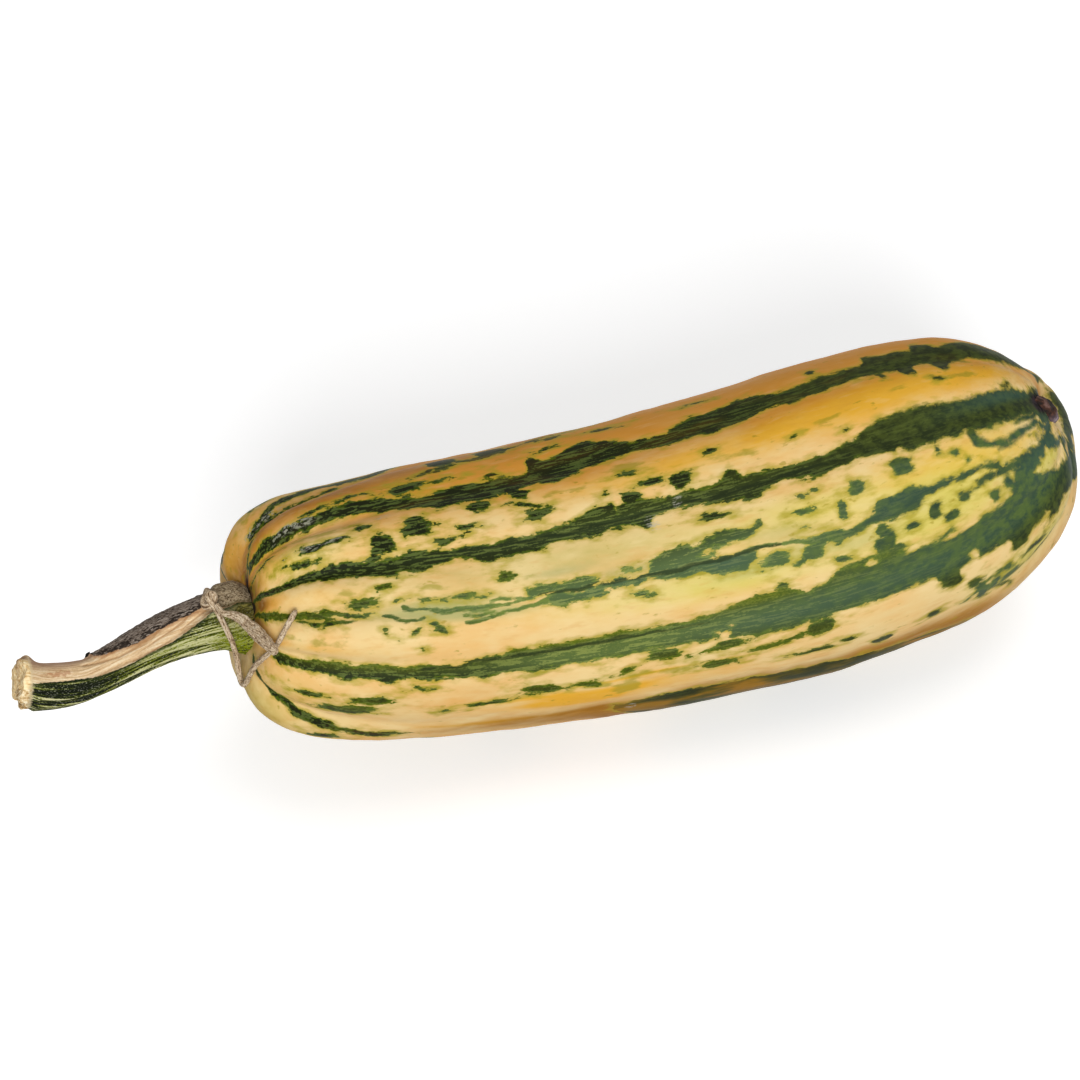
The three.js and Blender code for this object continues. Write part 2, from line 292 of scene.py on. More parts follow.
def middle_line(x):
    """The middle of the section at x, with its pitch and yaw in degrees."""
    t = x / HALF_LENGTH
    to_stem = max(-t - STEM_TURN["start"], 0) / (1 - STEM_TURN["start"])
    to_blossom = max(t - BLOSSOM_TURN["start"], 0) / (1 - BLOSSOM_TURN["start"])

    def place(way):
        bow = BOW[way] * (t * t - BOW["level"])
        return bow + STEM_TURN[way] * to_stem**2 + BLOSSOM_TURN[way] * to_blossom**2

    def slope(way):
        stem = 2 * STEM_TURN[way] * to_stem / (1 - STEM_TURN["start"])
        blossom = 2 * BLOSSOM_TURN[way] * to_blossom / (1 - BLOSSOM_TURN["start"])
        return (2 * BOW[way] * t - stem + blossom) / HALF_LENGTH

    pitch = math.degrees(math.atan(slope("up") / math.hypot(1, slope("side"))))
    yaw = math.degrees(math.atan(slope("side")))
    return Vector((x, place("side"), place("up"))), pitch, yaw


def furrow_angle(rib_place, share=0.0):
    """Degrees round the axis at a rib coordinate, at a share of the half length."""
    place = np.asarray(rib_place, float)
    rib = np.floor(place).astype(int)
    part = place - rib
    at = np.array([at for at, _ in FURROWS])
    turned = np.array([by for _, by in FURROWS])
    laps = rib // RIBS
    after = rib + 1
    start = at[rib % RIBS] + turned[rib % RIBS] * share + 360 * laps
    end = at[after % RIBS] + turned[after % RIBS] * share + 360 * (after // RIBS)
    return start + (end - start) * part


def blossom_fall(distance):
    """How far the blossom end has fallen back at a distance from its middle."""
    return BLOSSOM_FALL["depth"] * (distance / BLOSSOM_FALL["distance"]) ** BLOSSOM_FALL["power"]


def furrow_relief(share, radius, level):
    """How far inside the round a point lies, level columns away from its furrow."""
    depth = (FURROW_DEPTH
             + STEM_FURROWS["depth"] * hill(share, STEM_FURROWS["at"], STEM_FURROWS["length"])
             + BLOSSOM_FURROWS["depth"]
             * hill(share, BLOSSOM_FURROWS["at"], BLOSSOM_FURROWS["length"]))
    crown = math.sin(math.pi * level / COLUMNS_PER_RIB) ** RIB_FULLNESS
    return depth * (1 - crown) * (1 - hill(radius, 0, POLE_RADIUS))


def sort_points(mesh):
    """The points of the bare sphere by ring from the stem, and by column from the first furrow."""
    rings = [[] for _ in range(RINGS + 1)]
    columns = [[] for _ in range(COLUMNS)]
    column_of = {}
    for point in mesh.verts:
        ring = round(math.acos(max(-1, min(1, -point.co.x))) / math.pi * RINGS)
        rings[ring].append(point)
        if 0 < ring < RINGS:
            angle = math.atan2(-point.co.y, point.co.z)
            column = round(angle / math.tau * COLUMNS) % COLUMNS
            columns[column].append(point)
            column_of[point.index] = column
    return rings, columns, column_of


def shape_rind():
    """The rind: a sphere whose columns go to their ribs and whose rings go to their places."""
    rind = start_piece("rind", bpy.ops.mesh.primitive_uv_sphere_add, segments=COLUMNS,
                       ring_count=RINGS, radius=1, rotation=(0, math.pi / 2, 0))
    bpy.ops.object.transform_apply(location=False, rotation=True, scale=False)
    mesh = start_editing(rind)
    rings, columns, column_of = sort_points(mesh)
    for column, points in enumerate(columns):
        pick(mesh, points)
        evenly = 360 * column / COLUMNS
        turn(float(furrow_angle(column / COLUMNS_PER_RIB)) - evenly, "X", (0, 0, 0))
    stations = np.interp(np.linspace(0, SKIN_LENGTH, RINGS + 1), SKIN_LENGTHS, TURNS)
    shares, radii, alongs = rind_profile(stations)
    for ring, points in enumerate(rings):
        centre = (-math.cos(math.pi * ring / RINGS), 0, 0)
        pick(mesh, points)
        if 0 < ring < RINGS:
            size = radii[ring] / math.sin(math.pi * ring / RINGS)
            stretch((1, size, size), centre)
            for level in range(COLUMNS_PER_RIB // 2):
                beside = {level, COLUMNS_PER_RIB - level}
                pick(mesh, [p for p in points if column_of[p.index] % COLUMNS_PER_RIB in beside])
                inside = 1 - furrow_relief(shares[ring], radii[ring], level) / radii[ring]
                stretch((1, inside, inside), centre)
            pick(mesh, points)
        move((alongs[ring] - centre[0], 0, 0))
    stop_editing()
    turn_furrows(rind, column_of)
    swell_belly(rind)
    bend_rind(rind, shares, radii, alongs)
    return rind


def turn_furrows(rind, column_of):
    """Lets each furrow wind by its own amount on its way to the blossom end."""
    most = min(by for _, by in FURROWS)
    amounts = [0.0] * len(rind.data.vertices)
    for index, column in column_of.items():
        rib, level = divmod(column, COLUMNS_PER_RIB)
        here = FURROWS[rib][1]
        after = FURROWS[(rib + 1) % RIBS][1]
        amounts[index] = (here + (after - here) * level / COLUMNS_PER_RIB) / most
    group = weigh(rind, "winding", amounts)
    apply(rind, "SIMPLE_DEFORM", deform_method="TWIST", deform_axis="X",
          angle=math.radians(2 * most), vertex_group=group)


def swell_belly(rind):
    """A fuller underside, so that the fruit rests under its own middle."""
    x, y, z = read_points(rind).T
    angle = np.degrees(np.arctan2(-y, z)) % 360
    share = hill(x, BELLY["at"], BELLY["length"]) * hill(angle, BELLY["angle"], BELLY["spread"])
    share[np.hypot(y, z) < POLE_RADIUS] = 0
    lift(rind, "belly", BELLY["depth"], share)


def bend_rind(rind, shares, radii, alongs):
    """Turns and moves each ring to the bowed middle line and sweeps the blossom end to its scar."""
    mesh = start_editing(rind)
    mesh.verts.ensure_lookup_table()
    by_ring = [[] for _ in range(RINGS + 1)]
    for point in mesh.verts:
        by_ring[round(uv_ring(mesh, point) * RINGS)].append(point)
    for ring, points in enumerate(by_ring):
        x, radius = float(alongs[ring]), float(radii[ring])
        middle, pitch, yaw = middle_line(x)
        pick(mesh, points)
        if shares[ring] > 0:
            sweep_blossom_ring(x, radius)
        turn(-pitch, "Y", (x, 0, 0))
        turn(yaw, "Z", (x, 0, 0))
        move(settle(middle) - Vector((x, 0, 0)))
    pick(mesh, [point for point in mesh.verts if point.co.z < 0])
    stretch((1, 1, 0), (0, 0, 0))
    stop_editing()


def sweep_blossom_ring(x, radius):
    """Tilts and moves the selected ring over the rounding of the blossom end, towards the scar."""
    swept = math.hypot(SCAR_SHIFT["side"], SCAR_SHIFT["up"])
    amount = float(hill(radius, 0, SCAR_SHIFT["radius"]))
    far, near = radius + swept * amount, abs(radius - swept * amount)
    drop = (blossom_fall(far) + blossom_fall(near)) / 2 - blossom_fall(radius)
    if radius > 0:
        tip = math.degrees(math.atan((blossom_fall(far) - blossom_fall(near)) / (2 * radius)))
        turn(-tip * SCAR_SHIFT["up"] / swept, "Y", (x, 0, 0))
        turn(tip * SCAR_SHIFT["side"] / swept, "Z", (x, 0, 0))
    move((-drop, amount * SCAR_SHIFT["side"], amount * SCAR_SHIFT["up"]))


def uv_ring(mesh, point):
    """How far from the stem pole a point lies, as a share of the rings, from its UV place."""
    layer = mesh.loops.layers.uv.active
    return point.link_loops[0][layer].uv.y


def skin_places(rind):
    """Where each point lies on the skin: millimetres along it, and the rib coordinate."""
    around, ring_share = read_uv(rind)
    return ring_share * SKIN_LENGTH / MM, (around % 1) * RIBS


def finish_rind(rind):
    """Smooths the skin and gives it gentle lumps that leave the resting spot flat.

    The faces are cut along their shorter diagonals, so that the painted edges run the same way
    each time.
    """
    subdivide(rind, 2)
    along, across = skin_places(rind)
    for at, middle, length, breadth, height in FULLER_PLACES:
        share = hill(along, at, length) * hill(wrap(across, middle), middle, breadth)
        lift(rind, "fuller", height, without_traces(share))
    above = climb(read_points(rind)[:, 2], LUMPS_START, LUMPS_CLIMB)
    group = weigh(rind, "above_floor", above)
    for name, (size, strength) in SKIN_LUMPS.items():
        roughen(rind, name, size, strength, vertex_group=group)
    apply(rind, "TRIANGULATE", quad_method="SHORTEST_DIAGONAL")
    bpy.ops.object.shade_smooth()


# ---- fruit: markings ----
# Stripe edges: (along, upper edge, lower edge).
STRIPES = [
    # the first stripe, over the back of the top
    [(22, -0.1, 0.0), (25, -0.17, -0.06), (30, -0.25, -0.14), (36, -0.33, -0.21),
     (45, -0.32, -0.2), (52, -0.27, -0.13), (60, -0.2, -0.05), (72, -0.45, -0.25),
     (110, -0.55, -0.3), (170, -0.5, -0.25), (225, -0.45, -0.2), (255, -0.3, 0.0)],
    [(27, -0.07, -0.03), (50, -0.1, -0.06)],
    # the second, just behind the highlight
    [(13, 0.66, 0.86), (17, 0.66, 0.92), (25, 0.69, 0.92), (30, 0.72, 0.92), (35, 0.73, 0.9),
     (45, 0.7, 0.9), (52, 0.73, 0.93), (57, 0.82, 1.02), (62, 0.87, 1.12), (70, 0.9, 1.27),
     (80, 0.86, 1.25), (88, 0.87, 1.2), (98, 0.9, 1.18), (101, 0.66, 1.16), (105, 0.77, 1.22),
     (110, 0.74, 1.12), (117, 0.6, 1.04),
     (125, 0.75, 1.03), (130, 0.85, 1.0), (140, 0.9, 1.1), (149, 0.78, 1.07), (160, 0.75, 1.07),
     (168, 0.72, 1.0), (175, 0.82, 1.0), (204, 0.82, 1.0), (206, 0.7, 1.02), (212.5, 0.74, 1.02),
     (214.5, 0.74, 1.2), (216.5, 0.75, 1.22), (218, 0.76, 1.02), (220, 0.78, 1.0),
     (222, 0.66, 1.02), (224, 0.66, 1.12), (225.5, 0.7, 1.24), (227.5, 0.74, 1.22),
     (229, 0.77, 1.03), (236, 0.64, 0.95), (240, 0.6, 0.95), (245, 0.54, 0.93),
     (250, 0.5, 0.88), (256, 0.35, 0.78), (262, 0.0, 0.5), (266, -0.6, 0.0)],
    # the third, along the middle and into the scar
    [(19, 2.06, 2.14), (22, 2.0, 2.22), (27, 1.95, 2.18), (33, 1.9, 2.15), (38, 1.84, 2.17),
     (45, 1.9, 2.22), (53, 1.86, 2.27), (58, 1.9, 2.25), (65, 1.93, 2.23), (70, 1.95, 2.15),
     (80, 1.97, 2.25), (90, 1.96, 2.27), (100, 1.91, 2.16), (110, 1.8, 2.17), (118, 1.75, 2.15),
     (120, 1.88, 2.15), (125, 1.75, 2.2), (127, 1.8, 2.3), (130, 1.88, 2.1), (148, 1.88, 2.1),
     (152, 1.72, 2.15), (155, 1.87, 2.25), (165, 1.92, 2.08), (175, 1.93, 2.2), (190, 1.88, 2.12),
     (195, 1.78, 2.15), (200, 1.73, 2.24), (205, 1.72, 2.28), (215, 1.75, 2.26), (220, 1.78, 2.28),
     (225, 1.81, 2.33), (235, 1.77, 2.38), (240, 1.76, 2.38), (248, 1.8, 2.42), (250, 1.8, 2.55),
     (252, 1.8, 2.8), (258, 1.7, 3.0), (263, 1.4, 3.2), (270, 0.8, 3.8)],
    # the fourth is broken into strands and lumps
    [(13, 2.88, 3.08), (15, 2.85, 3.1), (27, 2.88, 3.07), (31, 2.88, 3.06), (38, 2.9, 3.05),
     (44, 2.96, 3.03), (48, 2.97, 3.01)],
    [(90, 2.84, 2.95), (92, 2.82, 2.98), (100, 2.84, 3.0), (104, 2.8, 3.02), (110, 2.84, 2.95)],
    [(94, 3.0, 3.1), (98, 3.0, 3.25), (101, 3.0, 3.18), (106, 3.0, 3.2), (112, 3.0, 3.12)],
    [(109, 2.97, 3.07), (128, 2.96, 3.05)],
    [(116, 2.8, 2.87), (122, 2.8, 2.87)],
    [(124, 2.8, 3.0), (128, 2.7, 3.12), (134, 2.63, 3.13), (139, 2.65, 3.1), (142, 2.62, 2.95),
     (146, 2.58, 2.8), (150, 2.65, 2.78), (153, 2.66, 2.72), (156, 2.5, 2.62)],
    [(138, 2.9, 3.1), (141, 2.92, 3.2), (146, 2.95, 3.24), (150, 2.97, 3.2), (153, 2.97, 3.08)],
    [(167, 2.98, 3.06), (172, 2.97, 3.1), (176, 2.99, 3.18), (180, 3.0, 3.15), (184, 2.95, 3.06),
     (190, 2.85, 3.1)],
    [(188, 2.83, 3.05), (191, 2.77, 3.12), (200, 2.75, 3.08), (203, 2.82, 2.97)],
    [(200, 2.83, 2.9), (207, 2.82, 2.93), (215, 2.83, 2.94), (222, 2.84, 2.9), (228, 2.86, 3.05)],
    [(218, 3.02, 3.1), (224, 3.0, 3.12), (230, 3.02, 3.2), (236, 3.02, 3.35), (240, 3.0, 3.4),
     (245, 2.97, 3.3), (250, 2.95, 3.5), (253, 3.2, 3.66), (256, 3.42, 3.85), (258, 3.6, 4.1),
     (260, 3.8, 4.35), (263, 4.2, 4.9), (266, 4.8, 5.6)],
    [(227, 3.38, 3.6), (231, 3.15, 3.6), (236, 3.1, 3.45), (240, 3.05, 3.35), (243, 3.0, 3.25)],
    # the fifth, broad and mottled
    [(22, 4.0, 4.15), (24, 4.03, 4.2), (72, 4.03, 4.2), (78, 3.97, 4.2), (82, 3.91, 4.2),
     (92, 3.88, 4.2), (115, 3.87, 4.2), (130, 3.9, 4.2), (140, 3.84, 4.22), (145, 3.78, 4.25),
     (150, 3.68, 4.26), (158, 3.68, 4.27), (165, 3.82, 4.25), (170, 3.75, 4.24), (175, 3.62, 4.22),
     (183, 3.52, 4.22), (192, 3.56, 4.22), (200, 3.7, 4.2), (203, 3.68, 4.25), (205, 3.78, 4.3),
     (210, 3.76, 4.25), (216, 3.68, 4.25), (222, 3.66, 4.28), (224, 3.64, 4.42), (227, 3.6, 4.47),
     (230, 3.4, 4.35), (236, 3.42, 4.35), (238, 3.5, 4.45), (240, 3.62, 4.5), (243, 3.85, 4.47),
     (246, 4.03, 4.5), (249, 4.1, 4.65), (252, 4.15, 4.95), (255, 4.3, 5.4), (258, 4.5, 5.8),
     (262, 5.0, 6.2)],
    # the sixth, low on the front
    [(26, 4.98, 5.07), (34, 5.08, 5.18), (45, 5.17, 5.27), (53, 5.2, 5.28), (60, 5.2, 5.24)],
    [(113, 5.07, 5.14), (118, 5.04, 5.4), (124, 5.03, 5.8), (150, 5.05, 5.85), (170, 5.06, 5.85),
     (184, 5.15, 5.85), (196, 5.22, 5.8), (206, 5.3, 5.75), (216, 5.5, 5.75), (236, 5.6, 5.8)],
]

# Blocks and flecks of the same green: (from, to, upper edge, lower edge).
FLECKS = [
    (58, 68, 0.64, 0.8), (66, 77, 0.69, 0.74), (60, 69, 0.68, 0.78), (43, 50, 0.6, 0.65),
    (36, 42, 0.6, 0.66), (70, 105, 0.38, 0.44), (73, 81, 0.15, 0.42), (88, 97, 0.2, 0.42),
    (57, 62, 0.67, 0.71), (103, 110, 0.56, 0.61), (86, 89, 0.78, 0.84), (150, 156, 0.5, 0.55),
    (107, 113, 0.35, 0.42), (123, 130, 0.47, 0.53), (187, 190, 0.66, 0.74),
    (31, 43, 1.4, 1.55), (46, 50, 1.22, 1.35), (28, 34, 1.68, 1.78), (49.5, 56, 1.54, 1.84),
    (59.5, 65, 1.3, 1.46), (59, 66.5, 1.45, 1.65), (67.5, 69.5, 1.5, 1.56),
    (67, 74, 1.77, 1.85), (74, 79.5, 1.61, 1.69), (79, 84, 1.28, 1.45), (91, 96, 1.2, 1.38),
    (91, 98, 1.47, 1.53), (93, 101, 1.58, 1.73), (123, 128, 1.38, 1.44), (116, 118, 1.57, 1.63),
    (128, 134, 1.57, 1.65), (136, 142, 1.62, 1.8), (122, 127, 1.68, 1.88), (148, 151, 1.39, 1.45),
    (173, 175.5, 1.57, 1.62), (188.5, 190.5, 1.68, 1.74), (220, 223, 1.35, 1.43),
    (241.5, 244.5, 1.64, 1.74), (206, 208, 1.0, 1.13),
    (48.5, 51.5, 2.43, 2.53), (41, 48, 2.67, 2.82), (57, 67, 2.76, 2.84), (67, 75, 2.78, 2.85),
    (81, 86, 2.5, 2.65), (142, 149, 2.27, 2.38), (168, 171, 2.36, 2.44), (173, 175, 2.33, 2.4),
    (166, 172, 2.58, 2.66), (168, 171, 2.82, 2.87),
    (178.3, 180.6, 2.63, 2.86), (183, 188, 2.43, 2.6), (197, 203, 2.35, 2.57),
    (211.3, 213, 2.33, 2.44), (214.5, 216.5, 2.48, 2.56), (217.5, 219, 2.66, 2.72),
    (31.5, 34, 3.13, 3.24), (34.5, 37.5, 3.13, 3.22), (62, 66, 3.25, 3.38),
    (49.5, 50.5, 3.27, 3.33), (52.5, 53.5, 3.39, 3.45), (57.5, 58.5, 3.34, 3.4),
    (59.5, 60.5, 3.65, 3.71), (118, 124, 3.18, 3.3), (154, 161, 3.08, 3.3), (166, 172, 3.08, 3.33),
    (163, 167, 3.3, 3.38), (175, 178, 3.38, 3.48), (187, 190, 3.1, 3.28), (195, 199, 3.25, 3.35),
    (203, 206.5, 3.1, 3.3), (206, 211, 3.3, 3.47), (212, 216, 3.12, 3.27), (221, 224, 3.35, 3.52),
    (203, 207, 3.63, 3.7), (156, 159, 3.55, 3.65), (226, 229, 3.2, 3.45),
    (188, 191.5, 3.22, 3.36), (185.5, 191, 3.34, 3.52), (190, 193.5, 3.46, 3.6),
    (29, 37, 4.48, 4.55), (43, 53, 4.43, 4.55), (36, 49, 4.6, 4.77), (57, 62, 4.27, 4.33),
    (72, 85, 4.57, 4.63), (88, 98, 4.42, 4.52), (100, 106, 4.45, 4.5), (112, 117, 4.37, 4.43),
    (133, 147, 4.3, 4.36), (135, 145, 4.5, 4.6), (151, 166, 4.38, 4.45), (161, 170, 4.64, 4.7),
    (172, 176, 4.6, 4.66), (211, 214, 4.58, 4.95), (214.5, 217, 4.68, 4.85), (219, 221, 4.6, 4.7),
    (121, 129, 4.2, 4.35), (140, 147, 4.25, 4.35), (164, 170, 4.25, 4.45), (201, 206.5, 4.2, 4.42),
    (223, 228, 4.3, 4.46), (236, 246, 4.35, 4.52), (208, 212, 4.5, 4.62), (218, 224, 4.78, 4.9),
    (226, 233, 4.62, 4.7), (196, 200, 4.72, 4.8), (182, 186, 4.8, 4.95), (229, 236, 4.85, 4.95),
]

# Pale islands inside the stripes.
ISLANDS = [
    (51, 57, 1.83, 1.93), (200, 202.5, 2.17, 2.3), (140, 143, 2.78, 2.85), (140, 144, 4.12, 4.22),
    (182, 185, 3.57, 3.7), (193, 198, 3.55, 3.7), (210.5, 213, 4.15, 4.27), (228, 231, 3.15, 3.35),
]

# Thin yellow-olive marks.
OLIVE_MARKS = [
    (38, 42, 2.5, 2.6), (62, 67, 2.53, 2.62), (88, 92, 2.62, 2.7), (121, 130, 1.2, 1.32),
    (112, 119, 4.55, 4.75), (106, 136, 4.5, 4.54), (216, 222, 4.6, 4.95),
    (27, 33, 3.5, 3.54), (147, 152, 1.52, 1.58), (157, 161, 1.57, 1.63), (60, 66, 4.25, 4.32),
    (64, 72, 4.68, 4.74), (86, 92, 4.22, 4.28), (133, 138, 3.1, 3.16), (181, 188, 1.48, 1.55),
    (104, 112, 1.38, 1.44), (28, 44, 1.15, 1.2), (30, 40, 1.62, 1.66),
    (207, 212, 1.37, 1.43), (227, 233, 1.38, 1.46), (217, 220, 2.66, 2.73),
]

# Whitish scuffs.
SCUFFS = [
    (27, 37, 0.72, 0.84), (30, 41, 1.42, 1.5), (24, 33, -0.16, -0.08), (127, 130, 2.1, 2.3),
    (116.5, 118.5, 5.1, 5.2), (135, 138, 1.92, 2.08), (53, 57, 1.1, 1.2),
]

# Soft tints of the pale skin: (along, across, half length, half breadth, amount).
ORANGE_TINTS = [
    (60, 0.4, 90, 0.75, 0.75), (150, 0.4, 90, 0.7, 0.7), (235, 0.4, 60, 0.7, 0.75),
    (100, 1.2, 60, 0.25, 0.4), (190, 1.1, 55, 0.2, 0.2), (20, 8.8, 16, 0.8, 0.4),
    (18, 2.6, 12, 0.5, 0.35), (16, 3.7, 12, 0.7, 0.4), (40, 4.7, 22, 0.3, 0.3),
    (70, 4.35, 30, 0.3, 0.35), (115, 4.85, 60, 0.3, 0.25), (12, 1.3, 14, 1.2, 0.5),
    (195, 4.85, 30, 0.2, 0.2), (120, 5.6, 120, 0.35, 0.8),
]
GOLD_TINTS = [
    (101, 4.77, 11, 0.09, 1.2), (112, 4.68, 9, 0.06, 0.8), (88, 5.1, 24, 0.05, 0.9),
    (90, 4.6, 16, 0.05, 0.6),
    (125, 1.45, 40, 0.25, 0.5), (175, 1.4, 45, 0.3, 0.7), (222, 1.35, 35, 0.35, 0.9),
    (232, 2.8, 20, 0.3, 0.4), (115, 4.7, 40, 0.2, 0.5), (115, 4.5, 25, 0.03, 0.7),
    (35, 3.7, 18, 0.12, 0.35), (205, 2.5, 30, 0.3, 0.4), (50, 1.5, 40, 0.4, 0.3),
    (14, 0.3, 12, 2.0, 0.5), (16, 3.6, 12, 1.5, 0.35), (18, 8.8, 14, 0.9, 0.4),
    (38, 2.5, 24, 0.35, 0.3), (225, 0.5, 50, 0.4, 0.35),
]
LIME_TINTS = [
    (28, 1.55, 16, 0.35, 0.6), (22, 3.0, 14, 0.16, 0.8), (70, 3.0, 26, 0.28, 0.35),
    (115, 3.3, 30, 0.3, 0.35), (150, 3.3, 28, 0.35, 0.6), (170, 2.6, 28, 0.3, 0.5),
    (205, 3.3, 30, 0.45, 0.7), (220, 2.7, 30, 0.4, 0.6), (230, 4.75, 24, 0.3, 0.7),
    (245, 3.6, 14, 0.4, 0.7), (28, 4.6, 12, 0.3, 0.35), (24, 5.7, 16, 0.6, 0.75),
    (112, 2.4, 45, 0.35, 0.35),
]
HAZE_TINTS = [
    (56, 3.06, 14, 0.12, 0.6), (76, 3.15, 16, 0.12, 0.7), (66, 2.9, 16, 0.12, 0.6),
    (112, 2.5, 45, 0.45, 0.4), (55, 2.5, 30, 0.4, 0.25), (24, 5.7, 14, 0.6, 0.35),
    (160, 2.8, 14, 0.15, 0.35), (120, 2.85, 12, 0.1, 0.4), (150, 3.28, 12, 0.12, 0.5),
    (170, 3.1, 14, 0.2, 0.5), (185, 3.3, 14, 0.15, 0.4), (98, 2.65, 9, 0.08, 0.3),
    (24, 1.4, 10, 0.15, 0.3),
]
# The brown within about 15 mm of the stem pole is painted shade in the crease round the stem; the
# rest is the skin's own brown.
BROWN_AND_SHADE_TINTS = [
    (30, 0.35, 30, 0.45, 0.5), (80, 0.2, 40, 0.3, 0.45), (10, 0.8, 5, 3.0, 0.45),
    (12, 3.0, 5, 2.0, 0.5), (128, 5.25, 30, 0.2, 0.6), (175, 5.3, 30, 0.25, 0.8),
    (100, 5.1, 26, 0.05, 0.5), (14, 2.3, 6, 0.8, 0.45), (116, 5.4, 12, 0.25, 0.6),
    (23, 5.7, 16, 0.7, 0.35), (256, 4.9, 8, 0.4, 0.5), (13, 2.5, 5, 0.6, 0.45),
]

# Where the green is pale, bright and bronze, and where a bluish sheen of reflected light is painted
# on it.
PALE_GREEN = [
    (80, 3.05, 26, 0.35, 0.8), (125, 3.0, 40, 0.35, 0.9), (165, 3.1, 30, 0.45, 0.8),
    (50, 4.1, 25, 0.15, 0.1), (105, 4.08, 28, 0.14, 1.0), (150, 4.02, 35, 0.25, 0.8),
    (195, 3.9, 30, 0.4, 0.65), (235, 3.6, 26, 0.7, 0.55), (220, 2.6, 40, 0.3, 0.5),
    (180, 2.5, 22, 0.25, 0.4), (225, 1.95, 35, 0.3, 0.2), (115, 2.03, 50, 0.15, 0.3),
    (200, 0.9, 30, 0.15, 0.15), (215, 4.75, 12, 0.2, 0.6), (215, 5.25, 20, 0.2, 0.9),
]
BLUE_SHEEN = [
    (146, 3.08, 9, 0.14, 1.0), (115, 3.05, 18, 0.14, 0.6), (60, 3.0, 18, 0.2, 0.6),
    (155, 4.12, 22, 0.1, 0.7), (190, 4.05, 30, 0.15, 0.4), (240, 1.88, 18, 0.14, 0.9),
    (247, 3.1, 14, 0.6, 0.8), (262, 4.5, 12, 1.6, 0.8), (200, 2.9, 24, 0.2, 0.6),
    (252, 3.4, 10, 0.5, 0.8), (215, 3.2, 20, 0.2, 0.4),
]
BRIGHT_GREEN = [
    (104, 3.87, 32, 0.07, 1.0), (152, 3.75, 20, 0.1, 0.9), (45, 4.04, 30, 0.07, 0.7),
    (110, 4.05, 30, 0.12, 0.35), (140, 1.9, 60, 0.1, 0.15), (130, 4.45, 50, 0.2, 0.7),
    (60, 2.6, 40, 0.3, 0.4), (25, 3.0, 16, 0.12, 0.6), (45, 4.6, 12, 0.15, 0.6),
    (185, 3.6, 15, 0.1, 0.5),
]
BRONZE_GREEN = [
    (150, 5.2, 45, 0.25, 1.0), (90, 5.2, 30, 0.2, 0.7), (200, 5.3, 30, 0.3, 0.7),
    (90, 0.3, 40, 0.3, 0.4), (110, 0.95, 120, 0.15, 0.12),
]

# Strokes follow a course: (along, across, half width in millimetres). Dark lines lie inside the
# stripes, green ones run between them, strands are the thin ones, and skin shows as pale ones.
DARK_LINES = [
    [(60, 4.08, 0), (75, 4.02, 0), (90, 4.0, 0), (115, 3.99, 0), (138, 4.0, -0.3)],
    [(70, 2.02, 0), (100, 2.03, 0), (140, 2.02, 0), (180, 2.05, 0)],
    [(92, 2.97, 0), (112, 2.97, 0), (140, 2.98, 0), (160, 2.94, 0)],
]
GREEN_STROKES = [
    [(12, 0.62, 0.5), (16, 0.48, 0.4), (20, 0.28, 0.35), (25, 0.0, 0.4), (30, -0.19, 0.5)],
    [(11, 1.35, 0.3), (17, 1.3, 0.2), (24, 1.28, 0.05)],
    [(247, 2.7, 0.8), (252, 2.9, 1.5)],
    [(244, 3.15, 1.2), (250, 3.1, 1.6), (255, 2.9, 1.8), (259, 2.7, 1.8)],
    [(259, 3.9, 1.0), (258, 4.4, 1.2), (254, 4.7, 1.2)],
    [(268, 8.5, 1.8), (267, 7.0, 2.6), (266, 6.0, 2.8), (263, 5.2, 1.8)],
    [(242, 2.78, 0.3), (245, 2.86, 0.4)],
    [(206, 4.8, 0.5), (212, 4.72, 0.6), (216, 4.9, 0.8), (221, 5.1, 0.6)],
    [(210, 4.66, 0.4), (217, 4.62, 0.5), (222, 4.7, 0.4)],
]
STRANDS = [
    [(14, 4.66, 0.5), (18, 4.78, 0.8), (22, 4.9, 1.0), (26, 5.02, 1.0), (34, 5.14, 0.95),
     (40, 5.2, 0.8), (55, 5.24, 0.5), (66, 5.18, 0.0)],
    [(11, 8.78, 0.3), (14, 8.74, 0.6), (18, 8.68, 0.7), (22, 8.62, 0.4)],
    [(11, 2.14, 0.3), (15, 2.12, 0.7), (19, 2.11, 1.1), (23, 2.1, 1.3), (28, 2.07, 1.3)],
    [(55, 2.93, 0.6), (58, 2.97, 0.3), (62, 2.99, 0.3), (66, 3.03, 0.5), (70, 3.05, 0.7),
     (78, 3.04, 0.6), (85, 3.02, 0.4), (91, 2.97, 0.3)],
    [(79, 2.95, 0.2), (82, 2.92, 0.5), (86, 2.95, 0.2), (91, 2.98, 0.2)],
    [(50, 3.06, 0.5), (54, 3.12, 0.5), (58, 3.18, 0.4), (61, 3.12, 0.3)],
    [(72, 3.28, 0.5), (78, 3.22, 0.6), (85, 3.17, 0.5), (92, 3.1, 0.7), (97, 3.07, 0.8)],
    [(72, 3.17, 0.3), (76, 3.14, 0.4), (80, 3.13, 0.2)],
    [(28, 3.1, 0.3), (33, 3.17, 0.4), (38, 3.14, 0.4), (44, 3.1, 0.2)],
    [(148, 2.98, 0.7), (153, 2.95, 0.6), (158, 2.93, 0.5), (163, 2.95, 0.5), (168, 3.02, 0.6)],
    [(223.5, 2.34, 1.3), (224, 2.5, 1.4), (227, 2.63, 0.9), (231, 2.67, 1.2),
     (234, 2.68, 0.6), (238, 2.66, 1.4), (242, 2.63, 0.8), (247, 2.62, 1.2)],
    [(229, 2.76, 0.5), (233, 2.72, 0.9), (236, 2.74, 0.4)],
    [(238, 2.44, 0.4), (242, 2.42, 0.9), (247, 2.46, 1.0), (252, 2.4, 1.0)],
]
